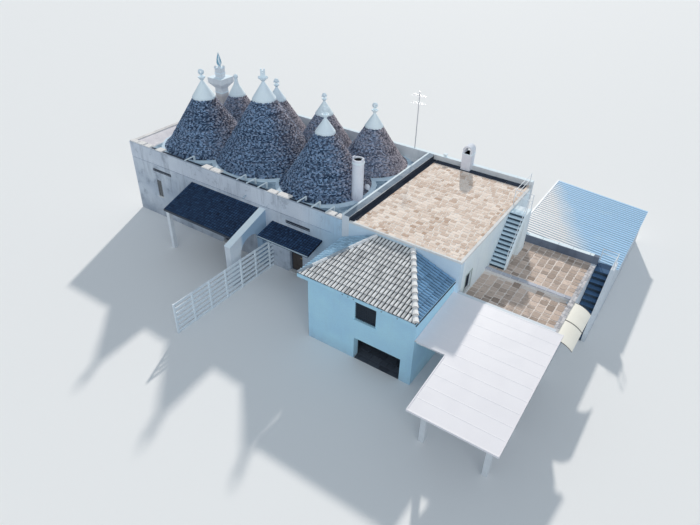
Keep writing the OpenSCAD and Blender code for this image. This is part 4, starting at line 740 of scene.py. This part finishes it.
# two rows of rubble on the terrace's right parapet, and the stones of the kerb
rubble = Pile("terrace_parapet_stones", RUBBLE, "concrete")
for a, b in lengths(0.28, 7.49, 0.16, 0.34, rest=0.04):
    for x0, x1 in ((-0.26, -0.135), (-0.125, 0.01)):
        rubble.paver(TERRACE_RIGHT + x0, TERRACE_RIGHT + x1, a + 0.01, b, TERRACE_WALL - 0.02,
                     TERRACE_WALL + uniform(0.006, 0.03), tone(0.5, 0.3), 0.02, 0.008)
rubble.done()
kerb_stones = Pile("kerb_stones", KERB_STONE, "concrete")
for a, b in lengths(FLAT_RIGHT + 0.01, TERRACE_RIGHT - 0.26, 0.35, 0.6, gap=0.006, rest=0.04):
    kerb_stones.paver(a, b, KERB[0] - 0.01, KERB[1] + 0.01, TERRACE_WALL - 0.05,
                      TERRACE_WALL + uniform(0.008, 0.018), tone(0.75, 0.15), 0.012, 0.004)
kerb_stones.done()

# small ties across the dark gutter behind the front parapet
ties = Pile("gutter_ties", CAP_WHITE)
for x in (5.2, 9.64, 10.44, 11.33, 14.28, 15.28, 16.26):
    ties.slab(x, x + 0.09, 0.09, GUTTER_END, PARAPET + 0.012, PARAPET + 0.05, ease=0.006)
    ties.slab(x, x + 0.09, GUTTER_END - 0.09, GUTTER_END, DECK, PARAPET + 0.012)
ties.done()
spout = Pile("roof_spout", LEAD, "mast_metal")
spout.rod((10.45, 0.02, 4.3), (10.45, -0.3, 4.22), 0.045, 12)
spout.rod((12.15, 0.0, 4.16), (12.15, -0.12, 4.16), 0.012)
spout.rod((12.15, -0.115, 4.16), (12.15, -0.115, 4.06), 0.012)
spout.done()

# tiled roof: the edges of its front slope at the eave and at the wall
EAVE_L, EAVE_R, EAVE_Y = LEFT + EAVE_LEFT, LEFT + EAVE_RIGHT, FRONT + EAVE_FRONT
TOP_L, TOP_R = LEFT + 19.68, LEFT + 21.85
EAVE_Z, TOP_Z = 3.99, 4.88
# the flat sides of a tile's arc, the width of a column, and how much of a tile shows
SIDES, TILE_WIDTH, EXPOSURE = 5, 0.198, 0.41


def unit(line):
    """The direction of a line, and its length."""
    length = float(np.linalg.norm(line))
    return line / length, length


def tile_arc(pile, a, b, across, up, r0, r1, lift, tint, end_tint):
    """One curved tile from point a down the fall to point b up it."""
    rings = []
    for p, r, h in ((a, r0, lift), (b, r1, 0.0)):
        rings += [p + across * (r * cos(t)) + up * (r * 0.9 * sin(t) + h)
                  for t in (pi * i / SIDES for i in range(SIDES + 1))]
    faces = [(i, i + 1, SIDES + 2 + i, SIDES + 1 + i) for i in range(SIDES)]
    faces.append(tuple(range(SIDES, -1, -1)))
    pile.add(rings, faces, [tint] * SIDES + [end_tint])


def slope_tiles(pile, eave_x, along, fall, length, share, pale=()):
    """Columns of tiles up a slope. share(u) is how much of the fall the column at u covers."""
    start, along = np.array((eave_x, EAVE_Y, EAVE_Z)), np.array(along)
    fall, reach = unit(np.array(fall))
    up, _ = unit(np.cross(along, fall))
    if up[2] < 0:
        up = -up
    count = int(length / TILE_WIDTH)
    for k in range(count):
        u = (k + 0.5) * length / count
        end = reach * share(u)
        v = -0.03
        base = start + along * u
        while v < end - 0.1:
            stop = min(v + EXPOSURE + 0.05, end)
            ragged = uniform(-0.012, 0.012)
            tint = 1.0 if k in pale else tone(0.9, 0.12)
            # the end of a tile closes its hollow: a dark end is painted shade in that hollow, and
            # some ends at the eave are pale
            if v < 0:
                end_tint = 0.9 if rng.random() < 0.4 else 0.1
            else:
                end_tint = uniform(0.0, 0.15)
            tile_arc(pile, base + fall * v, base + fall * stop, along, up,
                     0.078 + ragged * 0.2, 0.067, 0.03, tint, end_tint)
            v += EXPOSURE + ragged


tiles = Pile("roof_tiles", TILES, "roof_tiles")
shaded_left_tiles = Pile("left_roof_tiles", LEFT_TILES_IN_SHADE, "roof_tiles")
shaded_right_tiles = Pile("right_roof_tiles", RIGHT_TILES_IN_SHADE, "roof_tiles")
TILED_DEPTH = FRONT - EAVE_Y


def front_share(u):
    x = EAVE_L + u
    return min(1.0, (x - EAVE_L) / (TOP_L - EAVE_L), (EAVE_R - x) / (EAVE_R - TOP_R))


slope_tiles(tiles, EAVE_L, (1.0, 0, 0), (0, TILED_DEPTH, TOP_Z - EAVE_Z), EAVE_R - EAVE_L,
            front_share)
for side, eave_x, top_x, pale in ((shaded_left_tiles, EAVE_L, TOP_L, ()),
                                  (shaded_right_tiles, EAVE_R, TOP_R, (9, 10, 14))):
    slope_tiles(side, eave_x, (0, 1.0, 0), (top_x - eave_x, 0, TOP_Z - EAVE_Z), TILED_DEPTH,
                lambda u: min(1.0, u / TILED_DEPTH), pale)
    side.done()
tiles.done()

# caps on the two hips: half width below and above, lift, tone of the ends, dark as painted shade in
# their hollows, and dark mortar
HIP_COUNT, HIP_LIFT, HIP_LAP = 11, 0.03, 0.06
for name, look, eave_x, top_x, wide, thin, lift, end_tint, mortar in (
        ("left_hip_tiles", LEFT_HIP, EAVE_L, TOP_L, 0.1, 0.092, 0.006, 0.4, (0, 1, 4, 5, 6)),
        ("right_hip_tiles", HIP_TILES, EAVE_R, TOP_R, 0.16, 0.118, 0.055, 0.2, ())):
    hips = Pile(name, look, "roof_tiles")
    a = np.array((eave_x, EAVE_Y, EAVE_Z + HIP_LIFT))
    line, length = unit(np.array((top_x, FRONT, TOP_Z + HIP_LIFT)) - a)
    across, _ = unit(np.cross(line, (0, 0, 1.0)))
    up = np.cross(across, line)
    for i in range(HIP_COUNT):
        s = i * length / HIP_COUNT
        tile_arc(hips, a + line * s, a + line * min(length, s + length / HIP_COUNT + HIP_LAP),
                 across, up, wide, thin, lift,
                 0.2 if i in mortar else uniform(0.85, 1.0), end_tint)
    hips.done()

blocks("eave_fascias", ROOM_WHITE_IN_SHADE, "whitewash", (
    (EAVE_LEFT - 0.025, EAVE_RIGHT + 0.025, EAVE_FRONT - 0.035, EAVE_FRONT + 0.005, 3.78, 3.975,
     0.004),
    (EAVE_RIGHT - 0.005, EAVE_RIGHT + 0.025, EAVE_FRONT, -0.02, 3.8, 3.975, 0.003),
    (EAVE_LEFT - 0.025, EAVE_LEFT + 0.005, EAVE_FRONT, -0.02, 3.8, 3.975, 0.003)))
blocks("right_gutter", JOINERY, "dark_joinery", (
    (EAVE_RIGHT + 0.026, EAVE_RIGHT + 0.062, EAVE_FRONT - 0.02, -0.02, 3.865, 3.925, 0.004),))
blocks("eave_vents", JOINERY, "dark_joinery", [
    (x, x + 0.07, -4.0975, -4.094, 3.86, 3.9, 0.0) for x in (20.3, 20.62, 20.94, 22.5, 23.35)])


# canopies
def shingles(name, x0, x1, y_front, z_front, z_wall):
    """Square shingles that cover a canopy from its front edge up to the wall."""
    pile = Pile(name, SHINGLE, "shingles")
    a = place(x0, y_front, z_front)
    fall, length = unit(np.array((0, -y_front, z_wall - z_front)))
    up = np.cross((1.0, 0, 0), fall)
    rows = round(length / SHINGLE_SIZE)
    columns = round((x1 - x0) / SHINGLE_SIZE)
    for j in range(rows):
        s0, s1 = j * length / rows, (j + 1) * length / rows
        for i in range(columns):
            u0 = i * (x1 - x0) / columns + 0.023
            u1 = (i + 1) * (x1 - x0) / columns - 0.023
            low, high = [[a + np.array((u, 0, 0)) + fall * s + up * (h * lift) for u, s, h in (
                (u0, s0 + 0.024, 0.034), (u1, s0 + 0.024, 0.034), (u1, s1, 0.01),
                (u0, s1, 0.01))] for lift in (0.0, 1.0)]
            pile.hexa(low, high, tone(0.62, 0.16), True)
    pile.done()


SHINGLE_SIZE = 0.17
shingles("large_canopy_shingles", 5.72, 11.5, -2.48, 2.9, 3.75)
shingles("small_canopy_shingles", 12.43, 16.13, -1.4, 2.9, 3.23)
# the large canopy's fascia is dark as painted shade along its edge
for name, look, x0, x1, y, deep in (
        ("large_canopy_fascia", JOINERY, 5.71, 11.5, -2.48, 0.13),
        ("small_canopy_fascia", LEAD, 12.42, 16.14, -1.4, 0.07)):
    blocks(name, look, "white_metal", ((x0, x1, y - 0.022, y, 2.9 - deep, 2.908, 0.003),))


def wing_top(y):
    return 3.81 + 0.85 / 2.48 * y


wing = Pile("wing_wall_coping", CAP_WHITE)
wing.hexa([place(x, y, wing_top(y) + 0.002) for x, y in corners(11.485, 11.935, -3.165, -0.002)],
          [place(x, y, wing_top(y) + 0.042) for x, y in corners(11.49, 11.93, -3.16, -0.002)])
wing.done()

# stairs: worn slabs for treads, and dark faces between them, which are painted shade
for name, look, riser_name, x0, x1, foot, base, going, rise, risers, thick, nose in (
        ("upper_treads", UPPER_TREAD, "upper_risers", 24.515, 25.355, 4.45, TERRACE_TOP, 0.155,
         (FLAT_TOP - TERRACE_TOP) / 13, 13, 0.075, 0.04),
        ("lower_treads_in_painted_shade", LOWER_TREAD_IN_SHADE, "lower_risers", 29.505, 30.295, 4.2, 0.0, 0.3,
         TERRACE_TOP / 12, 12, 0.045, 0.025)):
    treads = Pile(name, look, "concrete")
    faces = Pile(riser_name, RISER_SHADE, "concrete")
    for i in range(risers):
        y, z = foot + i * going, base + (i + 1) * rise
        back = y + going - 0.008 if i < risers - 1 else y + 0.4
        left, right = x0 + uniform(0.01, 0.03), x1 - uniform(0.01, 0.03)
        # the foot, the middle and the upper edge of a slab, with how far its nose is cut back
        foot_rim, rim, top_rim = [
            [place(x, yy + (cut if yy < y else 0), h)
             for x, yy in corners(left, right, y - nose, back)]
            for h, cut in ((z + 0.026 - thick, 0.012), (z + 0.008, 0), (z + 0.026, 0.014))]
        shade = tone(0.7, 0.22)
        treads.hexa(foot_rim, rim, shade)
        treads.hexa(rim, top_rim, shade, True)
        faces.slab(x0, x1, y - 0.012, y + 0.001, z - rise + 0.028, z + 0.024 - thick,
                   tone(0.4, 0.2))
    treads.done()
    faces.done()

# pergola roof: its sides, its depth, where it gets narrower, and its height behind and in front
PERGOLA_L, PERGOLA_R, PERGOLA_DEPTH, PERGOLA_STEP = 25.86, 29.92, 7.44, -3.97
PERGOLA_HIGH, PERGOLA_LOW = 3.29, 2.61


def pergola_z(y):
    return PERGOLA_HIGH + (PERGOLA_HIGH - PERGOLA_LOW) * y / PERGOLA_DEPTH


SEAMS = 10
seams = Pile("pergola_seams", PANEL, "panel_metal")
for i in range(SEAMS + 1):
    y = -7.42 + i * 7.38 / SEAMS
    x0 = PERGOLA_L if y < PERGOLA_STEP else EAVE_RIGHT
    z = pergola_z(y)
    seams.slab(x0 + 0.01, PERGOLA_R - 0.01, y - 0.03, y + 0.03, z - 0.004, z + 0.006, ease=0.018)
for x, y0, y1 in ((PERGOLA_L, -PERGOLA_DEPTH, PERGOLA_STEP),
                  (PERGOLA_R - 0.05, -PERGOLA_DEPTH, 0.0), (EAVE_RIGHT + 0.01, PERGOLA_STEP, 0.0)):
    seams.lying(x, x + 0.05, y0, y1, lambda x, y: pergola_z(y) - 0.05, 0.072)
seams.slab(PERGOLA_L, PERGOLA_R, -7.475, -PERGOLA_DEPTH, 2.53, 2.625, ease=0.004)
seams.done()

# awning: dark rims along the two panels, which are parts of a cylinder
AWNING_REACH, AWNING_DROP, AWNING_TOP = 0.93, 0.38, 2.62
BEND = (AWNING_REACH ** 2 + AWNING_DROP ** 2) / (2 * AWNING_DROP)


def awning_z(x, _):
    """The underside of the rims."""
    return AWNING_TOP - BEND + sqrt(BEND ** 2 - (x - TERRACE_RIGHT) ** 2) - 0.02


rims = Pile("awning_rims", AWNING_EDGE, "dark_joinery")
arc = [TERRACE_RIGHT + AWNING_REACH * i / 12 for i in range(13)]
for y0, y1 in ((0.335, 0.365), (1.965, 2.035), (3.635, 3.665)):
    for x0, x1 in zip(arc, arc[1:]):
        rims.lying(x0, x1, y0, y1, awning_z, 0.027)
rims.done()

# windows
blocks("room_window_sill", ROOM_WHITE_IN_SHADE, "whitewash", (
    (20.93, 22.27, -4.04, -3.88, 2.555, 2.603, 0.006),))
# two doors: where their planks start
DOORS = (8.17, 13.76)
blocks("window_sills", TRIM, "whitewash", (
    (2.1, 2.65, -0.05, 0.09, 1.56, 1.602, 0.004),
    (24.4, 24.56, 0.86, 1.71, 2.705, 2.752, 0.004),
    *((x - 0.12, x + 0.94, -0.12, 0.18, 0.1, 0.152, 0.006) for x in DOORS)))
# the two slots under the groove: where they start, their length, foot and top
SLOTS, SLOT_LENGTH, SLOT_LOW, SLOT_HIGH = (2.02, 13.51), 1.7, 3.512, 3.628
louvres = Pile("slot_louvres", JOINERY, "dark_joinery")
slot_rims = Pile("slot_rims", JOINERY, "dark_joinery")
for x0 in SLOTS:
    louvres.slab(x0 + 0.002, x0 + SLOT_LENGTH - 0.002, 0.052, 0.062, SLOT_LOW, SLOT_HIGH)
    for i in range(17):
        x = x0 + 0.04 + i * 0.1
        louvres.slab(x, x + 0.02, 0.035, 0.054, SLOT_LOW, SLOT_HIGH)
    left, right = x0 - 0.03, x0 + SLOT_LENGTH + 0.03
    for a, b, z0, z1 in ((left, right, 3.475, SLOT_LOW), (left, right, SLOT_HIGH, 3.665),
                         (left, left + 0.032, SLOT_LOW, SLOT_HIGH),
                         (right - 0.032, right, SLOT_LOW, SLOT_HIGH)):
        slot_rims.slab(a, b, -0.01, 0.012, z0, z1, ease=0.002)
louvres.done()
slot_rims.done()
BAR = 0.005
bars = Pile("window_grille", BARS, "dark_joinery")
for i in range(1, 12):
    x = 21.0 + i * 0.1
    bars.slab(x - BAR, x + BAR, -3.935, -3.925, 2.604, 3.718)
for i in range(1, 9):
    z = 2.6 + i * 0.1245
    bars.slab(21.002, 22.198, -3.938, -3.922, z - BAR, z + BAR)
bars.done()
shut = Pile("window_shutters", SHUTTER, "dark_joinery")
for x0 in (2.155, 2.38):
    left, right = x0 + 0.03, x0 + 0.185
    for a, b in ((x0, left), (right, right + 0.03)):
        shut.slab(a, b, 0.03, 0.07, 1.605, 2.845)
    for i in range(18):
        shut.lying(left, right, 0.035, 0.065,
                   lambda x, y, z=1.62 + i * 0.069: z + y - 0.035, 0.022)
shut.done()
blocks("side_window_surround", SURROUND, "dark_joinery", (
    (24.505, 24.53, 0.85, 0.92, 2.75, 3.85, 0.003), (24.505, 24.53, 1.65, 1.72, 2.75, 3.85, 0.003),
    (24.505, 24.53, 0.92, 1.65, 3.78, 3.85, 0.003), (24.345, 24.4, 1.265, 1.305, 2.82, 3.71, 0.0)))

# doors of six planks with three ledges, and their handles
PLANK, HANDLE_Z = 0.1367, 1.215
KNOB = ((0.001, 1.19), (0.022, 1.19), (0.026, HANDLE_Z), (0.022, 1.24), (0.001, 1.24))
planks = Pile("door_planks", DOOR_WOOD, "door_wood")
handles = Pile("door_handles", BRASS, "door_wood")
for x in DOORS:
    for i in range(6):
        planks.slab(x + 0.004 + i * PLANK, x + i * PLANK + 0.1327, 0.184, 0.201, 0.225, 2.175,
                    tone(0.5, 0.3))
    for z in (0.45, 1.25, 1.95):
        planks.slab(x + 0.02, x + 0.8, 0.17, 0.186, z, z + 0.11)
    pin = x + 0.74
    handles.turned(pin, 0.176, KNOB, 16)
    handles.rod((pin, 0.184, HANDLE_Z), (pin, 0.125, HANDLE_Z), 0.008)
    handles.rod((pin, 0.13, HANDLE_Z), (pin - 0.11, 0.13, HANDLE_Z), 0.009)
planks.done()
handles.done(smooth=True)

# mouldings on the stacks, soot and painted shade in the mouth of the round one, and the elements of
# the antenna
REAR_STACK, ANTENNA, ANTENNA_HEIGHT = (0.34, 8.6), (16.4, 9.97), 3.8
mould = Pile("chimney_mouldings", CAP_WHITE)
sx, sy = REAR_STACK
for half, z0, z1 in ((0.375, 6.2, 6.27), (0.675, 7.29, 7.355), (0.295, 7.62, 7.68),
                     (0.3, 8.0, 8.052)):
    mould.slab(sx - half, sx + half, sy - half, sy + half, z0, z1, ease=0.008)
mould.turned(*ROUND_STACK, [(0.34, DECK + 2.3), (0.365, DECK + 2.32), (0.365, DECK + 2.4),
                            (0.34, DECK + 2.42)], 40)
mould.slab(19.93, 20.59, 9.47, 10.13, 6.14, 6.2, ease=0.008)
mould.done()
soot_and_shade = Pile("chimney_soot_and_shade", SOOT_AND_SHADE)
soot_and_shade.turned(*ROUND_STACK, [(0.262, 7.02), (0.258, 7.19), (0.235, 7.17), (0.2, 7.1),
                           (0.1, 7.06), (0.002, 7.05)], 40)
soot_and_shade.done(smooth=True)
aerial = Pile("antenna_elements", MAST, "mast_metal")
mast_x, mast_y = ANTENNA
for share, size in ((0.8, 0.3), (0.93, 0.22)):
    z = BACK_PARAPET + ANTENNA_HEIGHT * share + 0.012
    for i in range(7):
        x, half = mast_x - 0.42 + i * 0.14, size * (1 - 0.05 * i)
        aerial.rod((x, mast_y - half, z), (x, mast_y + half, z), 0.006, 6)
aerial.rod((mast_x, mast_y, 5.95), (mast_x, mast_y + 0.09, 5.95), 0.02)
aerial.done()

# painted shade at the feet of the ribs of the shed's metal roof, where each rib shades the sheet in
# front of it, and the flashing at its wall
SHED_HIGH, SHED_LOW, SHED_EDGE = 2.8, 2.35, 30.62
RIBS, RIB_PITCH, FIRST_RIB = 31, 0.26, TERRACE_BACK + 0.13


def rib_shade_z(x, _):
    """The underside of the painted shade strips, a little way into the sheet."""
    slope = (SHED_LOW - SHED_HIGH) * (x - FLAT_RIGHT) / (SHED_EDGE - FLAT_RIGHT)
    return SHED_HIGH + slope - 0.004


# painted shade: a dark strip along the foot of each rib, on its side towards the front
dirt = Pile("shed_rib_shading", RIB_SHADE, "sheet_metal")
for i in range(RIBS):
    y = FIRST_RIB + i * RIB_PITCH
    dirt.lying(FLAT_RIGHT + 0.11, SHED_EDGE - 0.02, y - 0.045, y + 0.002, rib_shade_z, 0.008,
               tone(0.5, 0.25))
dirt.done()
blocks("shed_flashing", WHITE_METAL, "sheet_metal", (
    (24.5, 24.6, TERRACE_BACK + 0.02, 16.58, 2.79, 2.842, 0.004),))
blocks("parapet_vent", CAP_WHITE, "whitewash", (
    (18.55, 18.73, 9.88, 10.06, BACK_PARAPET, BACK_PARAPET + 0.16, 0.01),
    (18.51, 18.77, 9.84, 10.1, BACK_PARAPET + 0.16, BACK_PARAPET + 0.2, 0.012)))

# floor, light, camera
FLOOR_SIZE = 600
bpy.ops.mesh.primitive_plane_add(size=FLOOR_SIZE, location=(5, 5, -0.004))
floor = bpy.context.object
floor.name = "studio_floor"
s = Shade("studio_floor", rough=0.95)
floor.data.materials.append(s.done(s.mix(s.seen(), (0.42, 0.46, 0.5), (0.86, 0.86, 0.86))))
floor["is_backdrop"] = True

# the light of the studio, and the pale backdrop that shows where the floor ends
world = bpy.data.worlds.new("studio")
scene.world = world
s = Tree(world)
sky = s.tree.nodes["Background"]
s.feed(sky.inputs["Color"], (0.76, 0.88, 1.0))
s.feed(sky.inputs["Strength"], 0.45)
backdrop = s.node("Background", Color=(0.76, 0.8, 0.84))
swap = s.node("MixShader")
for socket, value in zip(swap.inputs, (s.seen(), sky.outputs[0], backdrop.outputs[0])):
    s.feed(socket, value)
s.feed(s.tree.nodes["World Output"].inputs["Surface"], swap.outputs[0])


def sun(name, azimuth, elevation, strength, soft, colour):
    """A sun lamp. Its azimuth runs from +Y towards +X, and all three angles are in degrees."""
    light = bpy.data.lights.new(name, "SUN")
    light.energy = strength
    light.angle = radians(soft)
    light.color = colour
    obj = bpy.data.objects.new(name, light)
    scene.collection.objects.link(obj)
    a, e = radians(azimuth), radians(elevation)
    towards = Vector((sin(a) * cos(e), cos(a) * cos(e), sin(e)))
    obj.rotation_euler = towards.to_track_quat("Z", "Y").to_euler()


sun("key", -24, 28, 2.85, 2, (1.0, 0.95, 0.88))
sun("fill", 140, 20, 0.95, 60, (0.9, 0.96, 1.0))

camera_data = bpy.data.cameras.new("camera")
camera_data.sensor_width = FILM_MM
camera_data.lens = LENS_MM
camera_data.clip_end = 1000
camera = bpy.data.objects.new("camera", camera_data)
scene.collection.objects.link(camera)
fwd = np.array((sin(YAW) * cos(PITCH), cos(YAW) * cos(PITCH), -sin(PITCH)))
right = np.array((cos(YAW), -sin(YAW), 0.0))
up = np.cross(right, fwd)
right, up = (cos(ROLL) * right + sin(ROLL) * up,
             cos(ROLL) * up - sin(ROLL) * right)
camera.matrix_world = (Matrix.Translation(CAMERA_PLACE)
                       @ Matrix(tuple(zip(right, up, -fwd))).to_4x4())
scene.camera = camera
scene.view_settings.view_transform = "Standard"

low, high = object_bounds()
